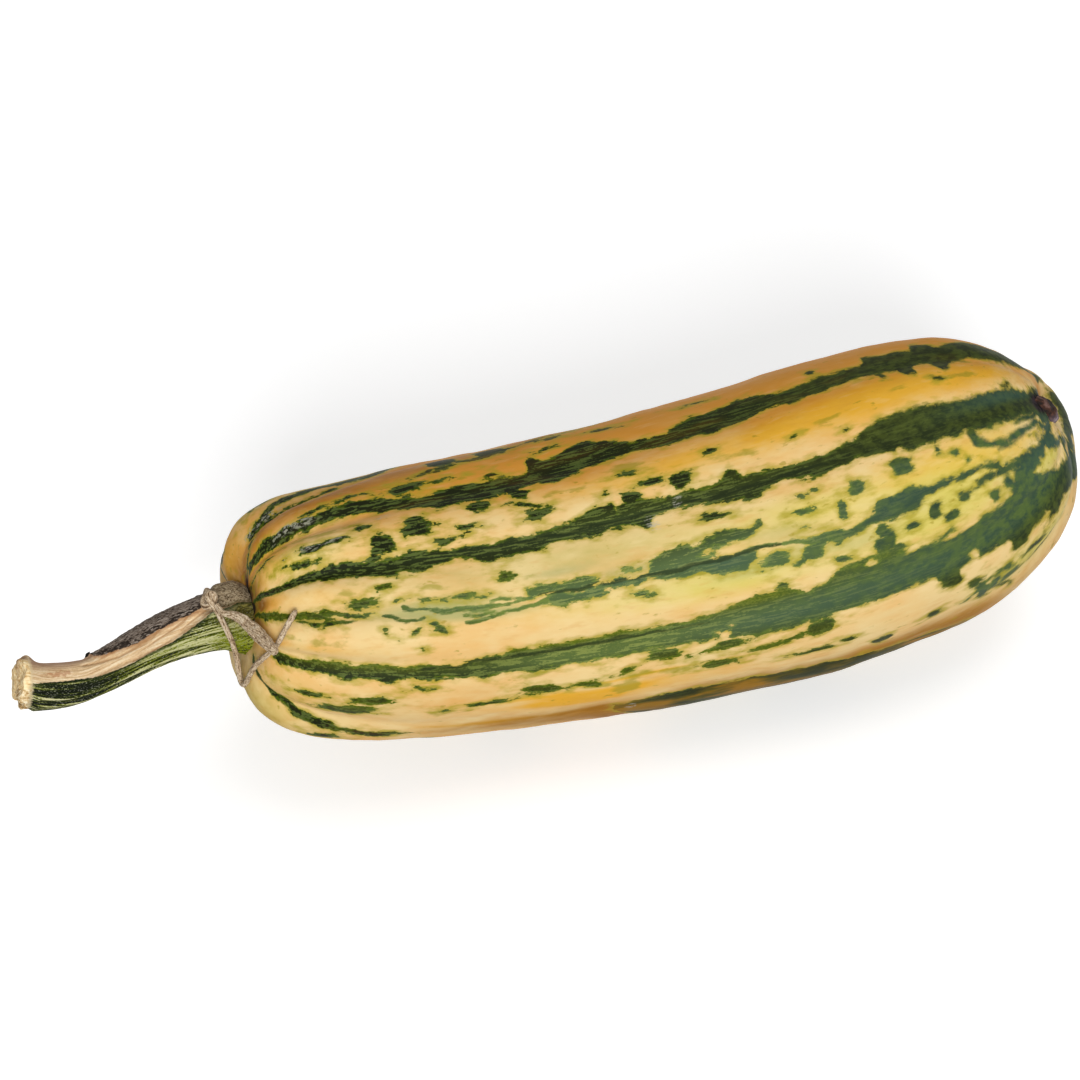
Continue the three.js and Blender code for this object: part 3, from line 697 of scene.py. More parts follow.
SKIN_STROKES = [
    [(255, 3.35, 0.5), (259, 3.7, 0.9), (264, 4.3, 1.2), (266, 5.2, 0.8)],
    [(237, 3.45, 0.6), (241, 3.55, 2.0), (246, 3.7, 2.6), (250, 3.88, 2.0), (254, 4.03, 1.1)],
    [(226, 2.5, 1.2), (233, 2.48, 1.2), (240, 2.48, 0.9), (247, 2.52, 0.5)],
    [(232, 2.74, 0.7), (236, 2.88, 0.9), (242, 2.95, 0.9), (245, 2.95, 0.6)],
    [(241, 2.74, 0.5), (246, 2.8, 0.9), (247, 2.92, 0.7)],
    [(229, 4.42, 0.6), (234, 4.44, 0.7), (238, 4.46, 0.4)],
]

# The dark places: painted shade in the creases at the stem, and round the scar a dark ring that is
# partly its own dark skin and partly painted shade of its dimple.
SHADE_AND_SCAR_PLACES = [
    (257, 2.2, 6, 0.35, 1.3), (265, 2.3, 6, 0.7, 1.0), (271, 2.5, 4, 2.5, 0.8),
    (6, 1.0, 3, 1.5, 0.7), (9.5, 2.4, 2.2, 1.0, 0.8), (10, 0.8, 3, 0.5, 0.7),
]

TINTS = {
    "orange": ORANGE_TINTS, "gold": GOLD_TINTS, "lime": LIME_TINTS, "haze": HAZE_TINTS,
    "brown": BROWN_AND_SHADE_TINTS, "pale": PALE_GREEN, "blue": BLUE_SHEEN, "bright": BRIGHT_GREEN,
    "bronze": BRONZE_GREEN, "black": SHADE_AND_SCAR_PLACES,
}

# The back and the underside: stripes on each hidden furrow, and flecks between them.
HIDDEN_SEED = 11
HIDDEN_STRIPES = range(6, 10)
HIDDEN_STATIONS = range(18, 262, 8)
HIDDEN_EDGE = {"first": 0.14, "step": 0.08, "least": 0.05, "most": 0.28}
HIDDEN_FLECKS = {"number": 110, "along": (22, 245), "beside": 0.7, "length": (2, 9),
                 "width": (0.03, 0.15)}
# The outline of a fleck: how square and how full it is, and how far it may lean.
FLECK_SQUARENESS = 3
FLECK_FULLNESS = 1.03
NARROWEST_FLECK = 0.3
FLECK_LEAN = 0.15
LEAN_SEED = 5
FLECK_STEEPNESS = 1.6
CRISP_END = 30
# The drift of all outlines in millimetres, and the narrowest rib that it is counted against.
WANDER_SEED = 7
WANDER_LENGTH = 3.4
WANDER_STRETCH = (0.6, 1, 1)
WANDER_ALONG = 1.5
WANDER_ACROSS = 0.8
NARROWEST_RIB = 0.01
# Where the greens calm down and where all edges get soft, (start, length), towards the blossom end.
CALM_PART = (120, 70)
SOFT_PART = (175, 70)


def hidden_markings():
    """Stripes and flecks for the back and the underside, in the manner of the front."""
    rng = random.Random(HIDDEN_SEED)
    stripes = []
    step, least, most = HIDDEN_EDGE["step"], HIDDEN_EDGE["least"], HIDDEN_EDGE["most"]
    for furrow in HIDDEN_STRIPES:
        rows = []
        edges = [HIDDEN_EDGE["first"]] * 2
        for along in HIDDEN_STATIONS:
            edges = [min(max(edge + rng.uniform(-step, step), least), most) for edge in edges]
            rows.append((along, furrow - edges[0], furrow + edges[1]))
        stripes.append(rows)
    flecks = []
    beside = HIDDEN_FLECKS["beside"]
    for _ in range(HIDDEN_FLECKS["number"]):
        along = rng.uniform(*HIDDEN_FLECKS["along"])
        place = rng.choice(HIDDEN_STRIPES) + rng.uniform(-beside, beside)
        length = rng.uniform(*HIDDEN_FLECKS["length"])
        width = rng.uniform(*HIDDEN_FLECKS["width"])
        flecks.append((along, along + length, place, place + width))
    return stripes, flecks


def band(along, across, width, rows):
    """How deep inside a stripe each point lies, in millimetres, from its rows of edges."""
    stations, upper, lower = (np.array(column) for column in zip(*rows))
    near = wrap(across, (upper.mean() + lower.mean()) / 2)
    inside = np.minimum(near - np.interp(along, stations, upper),
                        np.interp(along, stations, lower) - near) * width
    ends = np.minimum(along - stations[0], stations[-1] - along)
    return np.minimum(inside, ends)


def block(along, across, width, mark, lean=0.0):
    """How deep inside a fleck each point lies, in millimetres. Its outline is a rounded block."""
    first, last, upper, lower = mark
    middle = (upper + lower) / 2
    forward = along - (first + last) / 2
    sideways = (wrap(across, middle) - middle) * width + lean * forward
    half_length = (last - first) / 2 * FLECK_FULLNESS
    half_width = np.maximum((lower - upper) / 2 * width * FLECK_FULLNESS, NARROWEST_FLECK)
    reach = (np.abs(forward / half_length) ** FLECK_SQUARENESS
             + np.abs(sideways / half_width) ** FLECK_SQUARENESS) ** (1 / FLECK_SQUARENESS)
    return (1 - reach) * np.minimum(half_width, half_length)


def wrap(across, middle):
    """The rib coordinate, counted so that it is near a middle."""
    return (across - middle + RIBS / 2) % RIBS - RIBS / 2 + middle


def deepest(fields, limit=4.0):
    return np.clip(np.maximum.reduce(list(fields)), -limit, limit)


def tint(along, across, patches):
    """The amount of a soft tint at each point, from 0 to 1."""
    total = np.zeros_like(along)
    for at, middle, length, breadth, amount in patches:
        total += amount * hill(along, at, length) * hill(wrap(across, middle), middle, breadth)
    return np.clip(total, 0, 1)


def stroke(along, across, width, course, period=RIBS):
    """How deep inside a brush stroke each point lies, in millimetres, from its course."""
    depth = np.full_like(along, -9.0)
    for (start, beside, half), (end, after, last_half) in zip(course, course[1:]):
        forward = along - start
        sideways = ((across - beside + period / 2) % period - period / 2) * width
        length, turned = end - start, (after - beside) * width
        part = np.clip((forward * length + sideways * turned) / (length**2 + turned**2), 0, 1)
        gap = np.hypot(forward - part * length, sideways - part * turned)
        depth = np.maximum(depth, half + (last_half - half) * part - gap)
    return depth


def wander(points):
    """A smooth random drift at each point, in shares of the amplitude, with waves of one length.

    Without a seed of its own, the drift would follow the clock.
    """
    noise.seed_set(WANDER_SEED)
    return np.array([noise.noise_vector(point) for point in points / (WANDER_LENGTH * MM)])


def mark_rind(rind):
    """Paints on every point how deep it lies in each kind of mark, in millimetres."""
    along, across = skin_places(rind)
    turned = np.interp(along * MM, SKIN_LENGTHS, TURNS)
    share, radius, _ = rind_profile(turned)
    rib = np.floor(across)
    degrees_per_rib = furrow_angle(rib + 1, share) - furrow_angle(rib, share)
    width = np.maximum(np.radians(degrees_per_rib) * radius / MM, NARROWEST_RIB)
    angle = np.radians(furrow_angle(across, share))
    grain = np.stack([along * MM, radius * np.sin(angle), radius * np.cos(angle)], axis=1)
    paint(rind, "grain", grain)
    drift = wander(grain * WANDER_STRETCH)
    for name, patches in TINTS.items():
        paint(rind, name, tint(along, across, patches))
    along = along + drift[:, 0] * WANDER_ALONG
    across = across + drift[:, 1] * WANDER_ACROSS / width
    more_stripes, more_flecks = hidden_markings()
    bands = [band(along, across, width, rows) for rows in STRIPES + more_stripes]
    rng = random.Random(LEAN_SEED)
    blocks = [block(along, across, width, mark, rng.uniform(-FLECK_LEAN, FLECK_LEAN))
              for mark in FLECKS + more_flecks]
    islands = deepest(block(along, across, width, mark) for mark in ISLANDS)
    strokes = [deepest(stroke(along, across, width, course) for course in courses)
               for courses in (GREEN_STROKES, SKIN_STROKES, DARK_LINES, STRANDS)]
    green_strokes, skin_strokes, dark_lines, strands = strokes
    stripes = np.minimum(np.maximum(deepest(bands), green_strokes),
                         -np.maximum(islands, skin_strokes))
    flecks = deepest(blocks)
    flecks = np.where(flecks > 0, flecks * FLECK_STEEPNESS, flecks)
    paint(rind, "green", np.maximum(stripes * (1 + hill(along, 0, CRISP_END)), flecks))
    paint(rind, "line", dark_lines)
    paint(rind, "strand", strands)
    paint(rind, "calm", climb(along, *CALM_PART))
    paint(rind, "soft", climb(along, *SOFT_PART))
    paint(rind, "olive", deepest(block(along, across, width, mark) for mark in OLIVE_MARKS))
    paint(rind, "scuff", deepest(block(along, across, width, mark) for mark in SCUFFS))


# ---- materials ----
def colour(code):
    """A colour written as in a paint box, in the renderer's own numbers."""
    channels = [int(code[k:k + 2], 16) / 255 for k in (1, 3, 5)]
    return [c / 12.92 if c <= 0.04045 else ((c + 0.055) / 1.055) ** 2.4 for c in channels] + [1]


class Signal:
    """A value that varies over a surface. Arithmetic on it adds Math nodes."""

    def __init__(self, wiring, socket):
        self.wiring = wiring
        self.socket = socket

    def calculate(self, operation, *values):
        return self.wiring.node("Math", {"operation": operation}, dict(enumerate(values)))

    def __add__(self, other):
        return self.calculate("ADD", self, other)

    def __radd__(self, other):
        return self.calculate("ADD", other, self)

    def __sub__(self, other):
        return self.calculate("SUBTRACT", self, other)

    def __rsub__(self, other):
        return self.calculate("SUBTRACT", other, self)

    def __mul__(self, other):
        return self.calculate("MULTIPLY", self, other)

    def __rmul__(self, other):
        return self.calculate("MULTIPLY", other, self)

    def most(self, other):
        return self.calculate("MAXIMUM", self, other)

    def rise(self, low, high):
        """0 at low, 1 at high and smooth between. With low above high it falls instead."""
        settings = {"interpolation_type": "SMOOTHSTEP"}
        return self.wiring.node("MapRange", settings, {0: self, 1: low, 2: high})


class Wiring:
    """A node tree, and the one way in which its nodes are added."""

    def __init__(self, tree):
        self.tree = tree

    def node(self, kind, settings=None, inputs=None, output=0):
        """Adds a node: its settings first, then the values or links of its sockets."""
        node = self.tree.nodes.new("ShaderNode" + kind)
        for name, value in (settings or {}).items():
            if name == "stops":
                self.set_stops(node.color_ramp, value)
            else:
                setattr(node, name, value)
        for key, value in (inputs or {}).items():
            if isinstance(value, Signal):
                self.tree.links.new(value.socket, node.inputs[key])
            else:
                node.inputs[key].default_value = value
        return Signal(self, node.outputs[output])

    @staticmethod
    def set_stops(ramp, stops):
        while len(ramp.elements) < len(stops):
            ramp.elements.new(0.5)
        for element, (place, shade) in zip(ramp.elements, stops):
            element.position = place
            element.color = colour(shade)

    def seen(self):
        """1 for what the camera, a reflection or a look through glass sees, 0 for other light."""
        camera, glossy, through = [self.node("LightPath", output=f"Is {kind} Ray")
                                   for kind in ("Camera", "Glossy", "Transmission")]
        return camera.most(glossy).most(through)


class Finish(Wiring):
    """A material with one Principled shader, whose constants are set on its own sockets."""

    def __init__(self, name, constants):
        self.material = bpy.data.materials.new(name)
        self.material.use_nodes = True
        super().__init__(self.material.node_tree)
        self.shader = self.tree.nodes["Principled BSDF"]
        for socket, value in constants.items():
            self.shader.inputs[socket].default_value = value

    def field(self, name, output="Fac"):
        """A painted attribute of the piece."""
        return self.node("Attribute", {"attribute_name": name}, output=output)

    def stretched(self, vector, amounts):
        """A vector with each direction scaled, so that a pattern runs long one way."""
        return self.node("VectorMath", {"operation": "MULTIPLY"}, {0: vector, 1: amounts})

    def noise(self, vector, scale, detail=2.0, roughness=0.5, long=None):
        """Soft noise. A small number for long draws it out along the vector's first direction."""
        if long is not None:
            vector = self.stretched(vector, (long, 1, 1))
        return self.node("TexNoise", inputs={"Vector": vector, "Scale": scale, "Detail": detail,
                                             "Roughness": roughness})

    def cells(self, vector, scale):
        """A random value for each block of a blocky pattern."""
        found = self.node("TexVoronoi", {"distance": "CHEBYCHEV"},
                          {"Vector": vector, "Scale": scale}, "Color")
        return self.node("SeparateColor", inputs={0: found})

    def ramp(self, value, stops):
        return self.node("ValToRGB", {"stops": stops}, {0: value})

    def mix(self, factor, first, second):
        """A colour between two, each a code or another colour signal."""
        first, second = [shade if isinstance(shade, Signal) else colour(shade)
                         for shade in (first, second)]
        return self.node("Mix", {"data_type": "RGBA"}, {0: factor, 6: first, 7: second}, 2)

    def coats(self, shade, *coats):
        """A colour under coats, each a mask and the colour that it lays on."""
        for mask, coat in coats:
            shade = self.mix(mask, shade, coat)
        return shade

    def feed(self, name, signal):
        self.tree.links.new(signal.socket, self.shader.inputs[name])

    def complete(self, shade, roughness, height, distance, strength):
        """Feeds the shader its colour and roughness, and bumps from a height over a distance."""
        self.feed("Base Color", shade)
        self.feed("Roughness", roughness)
        self.feed("Normal", self.node("Bump", inputs={"Height": height, "Distance": distance,
                                                      "Strength": strength}))
        return self

    def cover(self, piece):
        piece.data.materials.clear()
        piece.data.materials.append(self.material)


# Tints of the pale skin: (painted name, colour, most that it covers).
SKIN_TINTS = [
    ("lime", "#c9c35c", 0.8), ("gold", "#e0a722", 0.9), ("orange", "#cf8a27", 0.9),
    ("haze", "#8f9c66", 0.7), ("brown", "#75491a", 0.85), ("bronze", "#96640f", 0.9),
]


def rind_finish():
    """Cream to orange skin with crisp dark-green stripes and flecks, faintly glossy."""
    finish = Finish("rind_finish", {"Specular IOR Level": 0.04})
    grain = finish.field("grain", "Vector")
    calm, soft, green, pale, bright = [
        finish.field(name) for name in ("calm", "soft", "green", "pale", "bright")]
    blocky = finish.cells(finish.stretched(grain, (0.4, 1, 1)), 950)
    fine = finish.noise(grain, 1500, 3, 0.6, long=0.4)
    medium = finish.noise(grain, 480, 3, long=0.4)
    broad = finish.noise(grain, 110, 3, long=0.45)
    streaks = finish.noise(grain, 1600, long=0.08)
    specks = finish.noise(grain, 2300, 2, 0.6, long=0.6)
    mottle = finish.noise(grain, 480, long=0.7)
    flush = finish.noise(grain, 420, 3, 0.6, long=0.22)
    freckles = finish.noise(grain, 620, 3, long=0.4)
    drifts = finish.noise(grain, 190, 3, long=0.3)
    # the pale skin, with its tints, a flush and freckles, and a halo round the green; the brown
    # tint also lays painted shade in the crease round the stem
    tints = []
    for name, shade, most in SKIN_TINTS:
        amount = finish.field(name) * (0.55 + broad * 0.9) + (medium - 0.5) * 0.25
        tints.append((amount.rise(0.05, 0.95) * most, shade))
    skin = finish.coats(
        finish.mix((broad + (medium - 0.5) * 0.3).rise(0.3, 0.75), "#e3c78c", "#e1b673"),
        *tints,
        (flush.rise(0.52, 0.72) * 0.25, "#c98d38"),
        (flush.rise(0.46, 0.3) * 0.1, "#f2dfb0"),
        ((green + (medium - 0.5) * 6.0).rise(-1.9, 0.5) * 0.8, "#a3962b"),
        ((freckles + (broad - 0.5) * 0.2).rise(0.64, 0.76) * 0.65, "#9a8722"),
        ((finish.field("olive") + (medium - 0.5) * 4.0).rise(-0.6, 0.5) * 0.6, "#8f8a22"))
    # the outline of the green
    rough = (blocky - 0.5) * 0.7 + (fine - 0.5) * 1.8 + (medium - 0.5) * 2.4
    rough = rough * (1 - calm * 0.2 - soft * 0.2) + (mottle - 0.5) * soft * 3.0
    strand = finish.field("strand") + (fine - 0.5) * 0.9 + (streaks - 0.5) * 0.7
    edge = (green + rough).most(strand)
    mask = edge.rise(-0.25 - soft * 0.7, 0.15 + soft * 0.7)
    # the green, fresh at its edges and deep inside, with pale threads and calmer blotches
    inwards = edge + (medium - 0.5) * 1.5 + (streaks - 0.5) * 1.0 - bright * 0.4
    lit = (streaks - 0.5) * 2.4 + (specks - 0.5) * 0.8
    threads = 0.85 - calm * 0.3 - soft * 0.3 - pale * 0.25
    paler = pale.rise(0.15, 0.5)
    blotch = finish.mix((mottle + (fine - 0.5) * 0.3).rise(0.36, 0.66),
                        finish.mix(paler, "#232b12", "#344c3e"),
                        finish.mix(paler, "#4a5420", "#5a6f37"))
    bronze = finish.ramp(drifts, [(0.4, "#262a08"), (0.5, "#574a08"), (0.6, "#94690e")])
    leaf = finish.coats(
        finish.mix(inwards.rise(-0.05, 0.75), finish.mix(pale, "#46590c", "#6f803a"),
                   finish.mix(pale, "#181d0a", "#53653a")),
        (lit.rise(-0.02, 0.26) * threads, finish.mix(pale, "#53612d", "#929c54")),
        (calm * 0.35 + soft * 0.35, blotch),
        (bright * 0.7, finish.mix(specks.rise(0.4, 0.6), "#55630f", "#737a20")),
        # a painted bluish sheen of reflected light on the green
        (finish.field("blue") * (0.5 + soft * 0.15), "#3c564c"),
        (finish.field("bronze") * 0.95, bronze),
        ((finish.field("line") + fine * 0.5).rise(-0.5, 0.0) * 0.7, "#1f2813"))
    # whitish scuffs, and the painted shade in the creases at the stem and in the scar's dimple over
    # its own dark ring
    dust = (finish.field("scuff") + (medium - 0.5) * 2.5).rise(-0.6, 0.5)
    dust = dust * (streaks * 0.6 + specks * 0.4).rise(0.44, 0.6)
    crease_shade_and_scar = (finish.field("black") + (medium - 0.5) * 0.5).rise(0.2, 0.75)
    shade = finish.coats(skin, (mask, leaf), (dust * 0.6, "#b3aea2"),
                         (crease_shade_and_scar, finish.mix(mottle.rise(0.42, 0.6), "#0d0b07", "#2e2428")))
    height = mask * -0.12 + fine * 0.1 + streaks * (0.25 - soft * 0.15)
    return finish.complete(shade, 0.46 + (medium - 0.5) * 0.12, height, 0.0002, 0.6)


# ---- stem ----
ON_AXIS = 0.000001
STEM_SIDES = 64
STEM_RINGS = 90
STEM_LENGTH = 67
# Broad and fine ridges round the stem, and the degrees that they wind on their way.
STEM_RIDGES = {"broad": 12, "fine": 29, "winding": 50}

# The edges on the stem in degrees round it, 0 on top and rising towards the front, by the share
# from the foot to the cut: where the bark gives way to the bare wood, and the wood to the green.
BARK_EDGE = [(0.0, 8), (0.07, 13), (0.11, 17), (0.155, 21), (0.18, 10), (0.2, -4), (0.23, 3),
             (0.27, 10), (0.32, 12), (0.36, 15), (0.42, 18), (0.47, 24), (0.51, 20), (0.56, 13),
             (0.62, 7), (0.655, -5), (0.7, -50), (0.72, -150), (1.0, -150)]
BARE_EDGE = [(0.0, 8), (0.07, 13), (0.11, 17), (0.155, 22), (0.2, 20), (0.23, 28), (0.27, 37),
             (0.32, 48), (0.37, 57), (0.45, 58), (0.52, 61), (0.6, 57), (0.68, 49), (0.76, 37),
             (0.82, 34), (0.9, 33), (0.95, 36), (1.0, 38)]
BACK_EDGE = -112

# Creases of the bare wood: (millimetres from the foot, degrees, half width).
WOOD_FOLDS = [
    [(13.5, 3, 0.1), (16, 13, 0.1), (19, 25, 0.12), (21.5, 37, 0.05)],
    [(18, 8, 0.1), (20, 17, 0.15), (24, 29, 0.15), (29, 41, 0.1), (33, 48, 0.0)],
    [(26, 19, 0.15), (29, 27, 0.2), (33, 31, 0.2), (38, 30, 0.2), (42, 20, 0.15), (48, 3, 0.1)],
    [(25, 50, 0.0), (30, 58, 0.1), (35, 56, 0.0)],
]
FOLD_HALF_WIDTH = 0.45
# How wide the borders between bark, wood and green are, in degrees.
BORDERS = {"green": 8, "bark": 5, "wood": 7, "back": 10}
# Swellings of the stem: (share, degrees, half length, half breadth, height in metres).
STEM_SWELLINGS = {
    "dome": (0.13, -12, 0.035, 55, 0.0006), "dome_back": (0.165, -30, 0.022, 45, 0.0011),
    "back_hollow": (0.66, -80, 0.17, 60, -0.0014), "knob": (0.968, -58, 0.024, 28, 0.0015),
    "neck": (0.9, -50, 0.04, 40, -0.0002), "speck": (0.697, -42, 0.01, 8, 0.0011),
    "foot_bulge": (0.08, 100, 0.05, 40, 0.0006),
}
RIDGE_HEIGHT = 0.0007
BARK_HEIGHT = 0.0004
WOOD_DEPTH = 0.0008
FOLD_DEPTH = 0.0004
# The foot is rounded down on its top half, from a share of the way back to the fruit.
FOOT_ROUND = {"from": 0.112, "length": 0.06, "power": 1.2, "depth": 0.0044, "middle": -25,
              "narrowing": 1.05}
# Where the stem's relief starts and stops, (start, length), in shares of its length.
RELIEF_START = (0.04, 1 / 12)
RELIEF_END = (0.96, -1 / 40)
HOLLOW_END = (0.75, -1 / 6)
BARK_START = 0.03
# Where painted sides and bands of the stem start, (start, length), in shares and in degrees.
UNDERSIDE = (105, 25)
CRUMBLY_SIDE = (40, 25)
CONTACT_SHADE_END = (0.06, -1 / 40)
TOP_BAND_EDGE = (6, -26)
TOP_BAND_START = (0.6, 1 / 9)
# Places on the stem with a colour of their own: (share, degrees, half length, half breadth).
SPOTS = {
    "stain": (0.85, 14, 0.09, 13), "speck": (0.697, -42, 0.012, 10),
    "knob": (0.976, -58, 0.024, 28), "olive": (0.07, 34, 0.08, 24),
    "young": (0.43, 75, 0.16, 30), "youngest": (0.1, 100, 0.12, 45),
}
BARK_LUMPS = (0.0012, 0.0005)
# Forms of the cut end, pulled along the stem: (start, length, degrees, half breadth, height).
TEAR_FORMS = {
    "torn_point": (0.975, 0.02, 65, 45, 0.0012), "cut_back": (0.93, 0.07, 145, 55, -0.0018),
    "cut_face": (0.965, 0.025, -5, 60, -0.0008),
}
# Where the ragged part starts, how ragged its smooth side is, where its ragged side begins, and
# its lumps: (size, strength along, strength outwards).
TEAR_START = (0.965, 0.02)
SMOOTH_SIDE = 0.35
RAGGED_SIDE = (35, 30)
TEAR_LUMPS = {"tear": (0.0026, 0.0018, 0.0012), "fibres": (0.001, 0.0005, 0.0007)}


def stretched_limb(name, stations, sides, rings):
    """A straight tube along +X with the length and girth of a limb, and the curve for its bend."""
    places = [settle(station) for station in stations]
    line = smooth_line(places)
    length = line.data.splines[0].calc_length()
    limb = start_piece(name, bpy.ops.mesh.primitive_cylinder_add, vertices=sides, radius=1,
                       depth=length, end_fill_type="NOTHING", rotation=(0, math.pi / 2, 0),
                       location=(length / 2, 0, 0))
    bpy.ops.object.transform_apply(location=True, rotation=True, scale=False)
    mesh = start_editing(limb)
    bpy.ops.mesh.select_mode(type="EDGE")
    for edge in mesh.edges:
        edge.select_set(abs(edge.verts[0].co.x - edge.verts[1].co.x) > length / 2)
    bpy.ops.mesh.subdivide(number_cuts=rings - 1)
    bpy.ops.mesh.select_mode(type="VERT")
    mesh = bmesh.from_edit_mesh(limb.data)
    steps = [0.0]
    for here, after in zip(places, places[1:]):
        steps.append(steps[-1] + (after - here).length)
    marks = [step / steps[-1] for step in steps]
    girths = [station[3] for station in stations]
    by_ring = {}
    for point in mesh.verts:
        by_ring.setdefault(round(point.co.x / length * rings), []).append(point)
    for ring, points in by_ring.items():
        girth = float(np.interp(ring / rings, marks, girths))
        pick(mesh, points)
        stretch((1, girth, girth), (length * ring / rings, 0, 0))
    stop_editing()
    return limb, line


def smooth_line(places):
    """A smooth open curve through points, with its up side kept up."""
    bpy.ops.curve.primitive_bezier_curve_add()
    line = bpy.context.object
    line.data.dimensions = "3D"
    line.data.twist_mode = "Z_UP"
    line.data.resolution_u = 24
    spline = line.data.splines[0]
    spline.bezier_points.add(len(places) - 2)
    for knot, place in zip(spline.bezier_points, places):
        knot.co = place
        knot.handle_left_type = "AUTO"
        knot.handle_right_type = "AUTO"
    return line


def bend_along(limb, line):
    """Bends a straight limb along its line, and takes the line away."""
    apply(limb, "CURVE", object=line, deform_axis="POS_X")
    bpy.data.objects.remove(line)


def close_end(limb, sense, steps, bulge):
    """Closes the far end, of sense 1, or the near end, of sense -1, with a low dome."""
    mesh = start_editing(limb)
    reach = max(point.co.x for point in mesh.verts) if sense > 0 else 0.0
    pick(mesh, [point for point in mesh.verts if abs(point.co.x - reach) < 1e-6])
    angles = [math.pi / 2 * step / steps for step in range(steps + 1)]
    for before, after in zip(angles, angles[1:]):
        out = sense * bulge * (math.sin(after) - math.sin(before))
        bpy.ops.mesh.extrude_region_move(TRANSFORM_OT_translate={"value": (out, 0, 0)})
        if after < angles[-1]:
            size = math.cos(after) / math.cos(before)
            stretch((1, size, size), (0, 0, 0))
        else:
            bpy.ops.mesh.merge(type="CENTER")
    stop_editing()


def close_limb(limb, far_steps, far_bulge, near_steps, near_bulge):
    """Closes both ends, and makes all faces point outwards."""
    close_end(limb, 1, far_steps, far_bulge)
    close_end(limb, -1, near_steps, near_bulge)
    start_editing(limb)
    bpy.ops.mesh.select_all(action="SELECT")
    bpy.ops.mesh.normals_make_consistent(inside=False)
    stop_editing()


def limb_places(limb):
    """The share along a straight limb, the degrees round it, and its radius.

    The degrees are 0 on top and rise to the front. The middle of each end has no direction of
    its own and counts as on top.
    """
    x, y, z = read_points(limb).T
    radius = np.hypot(y, z)
    return x / x.max(), np.where(radius > ON_AXIS, np.degrees(np.arctan2(y, z)), 0), radius


def paint_grain(limb, length, girth):
    """Keeps a place for each point of a straight limb that materials lay their grain along."""
    share, degrees, _ = limb_places(limb)
    angle = np.radians(degrees)
    paint(limb, "grain", np.stack([share * length, girth * np.sin(angle),
                                   girth * np.cos(angle)], axis=1))


def edge_at(share, rows):
    places, degrees = zip(*rows)
    return np.interp(share, places, degrees)


def spot(share, degrees, place):
    """A soft round place on the stem, 1 at its middle."""
    at, turned, length, breadth = place
    return hill(share, at, length) * hill(degrees, turned, breadth)


def shape_stem():
    """The cut stem: ridged green skin, a raised bark, a hollowed bare strip and a torn end."""
    stem, line = stretched_limb("cut_stem", STEM_STATIONS, STEM_SIDES, STEM_RINGS)
    close_limb(stem, 8, 0.0003, 4, 0.0008)
    subdivide(stem, 1)
    share, degrees, radius = limb_places(stem)
    bark_edge, bare_edge = edge_at(share, BARK_EDGE), edge_at(share, BARE_EDGE)
    along_body = climb(share, *RELIEF_START) * climb(share, *RELIEF_END)
    around = np.radians(degrees + STEM_RIDGES["winding"] * share)
    ridges = (0.5 + 0.3 * np.cos(STEM_RIDGES["broad"] * around)
              + 0.2 * np.cos(STEM_RIDGES["fine"] * around + 2))
    green = 1 - (climb(degrees, bare_edge, -BORDERS["green"])
                 * climb(degrees, BACK_EDGE, BORDERS["green"]))
    bark = (climb(degrees, bark_edge, -BORDERS["bark"])
            * climb(degrees, BACK_EDGE, BORDERS["back"]))
    bare = (climb(degrees, bare_edge, -BORDERS["wood"])
            * climb(degrees, bark_edge, BORDERS["wood"]))
    width = radius / MM * math.pi / 180
    folds = deepest(stroke(share * STEM_LENGTH, degrees, width, course, 360)
                    for course in WOOD_FOLDS)
    crease = (climb(folds, -FOLD_HALF_WIDTH, FOLD_HALF_WIDTH)
              * (bark_edge < degrees) * (degrees < bare_edge))
    from_top = np.radians((degrees - FOOT_ROUND["middle"]) * FOOT_ROUND["narrowing"])
    top_half = np.sqrt(np.clip(np.cos(from_top), 0, 1))
    foot = climb(share, FOOT_ROUND["from"], -FOOT_ROUND["length"]) ** FOOT_ROUND["power"]
    shapes = {
        "ridges": (RIDGE_HEIGHT, ridges * green * along_body),
        "bark_lift": (BARK_HEIGHT, bark * along_body),
        "bare_hollow": (-WOOD_DEPTH, bare * along_body * climb(share, *HOLLOW_END)),
        "folds": (-FOLD_DEPTH, crease * along_body),
        "round_foot": (-FOOT_ROUND["depth"], foot * top_half),
    }
    for name, (*place, height) in STEM_SWELLINGS.items():
        shapes[name] = (height, spot(share, degrees, place))
    for name, (height, weights) in shapes.items():
        lift(stem, name, height, without_traces(weights))
    tear_end(stem, share, degrees)
    paint(stem, "bark", np.minimum(bark_edge - degrees, degrees - BACK_EDGE) * width)
    paint(stem, "bare", np.minimum(bare_edge - degrees, degrees - BACK_EDGE) * width)
    paint(stem, "grain", np.stack([share * STEM_LENGTH * MM, radius * around, radius], axis=1))
    spots = {name: spot(share, degrees, place) for name, place in SPOTS.items()}
    painted = {
        "share": share, "ridge": ridges, "fold": folds,
        "under": climb(degrees, *UNDERSIDE), "crumbly": climb(degrees, *CRUMBLY_SIDE),
        # painted shade where the stem's foot meets the fruit
        "contact": climb(share, *CONTACT_SHADE_END) * hill(degrees, 20, 50),
        "top_band": climb(degrees, *TOP_BAND_EDGE) * climb(share, *TOP_BAND_START),
        "lime": spots["young"] * 0.4 + spots["youngest"] * 1.1,
        "olive": np.clip(spots["olive"] * 1.5, 0, 1),
        "stain": spots["stain"], "speck": spots["speck"], "knob": spots["knob"],
    }
    for name, values in painted.items():
        paint(stem, name, values)
    bend_along(stem, line)
    roughen(stem, "bark_lumps", *BARK_LUMPS,
            vertex_group=weigh(stem, "rough_bark", bark * (share > BARK_START)))
    bpy.ops.object.shade_smooth()
    return stem


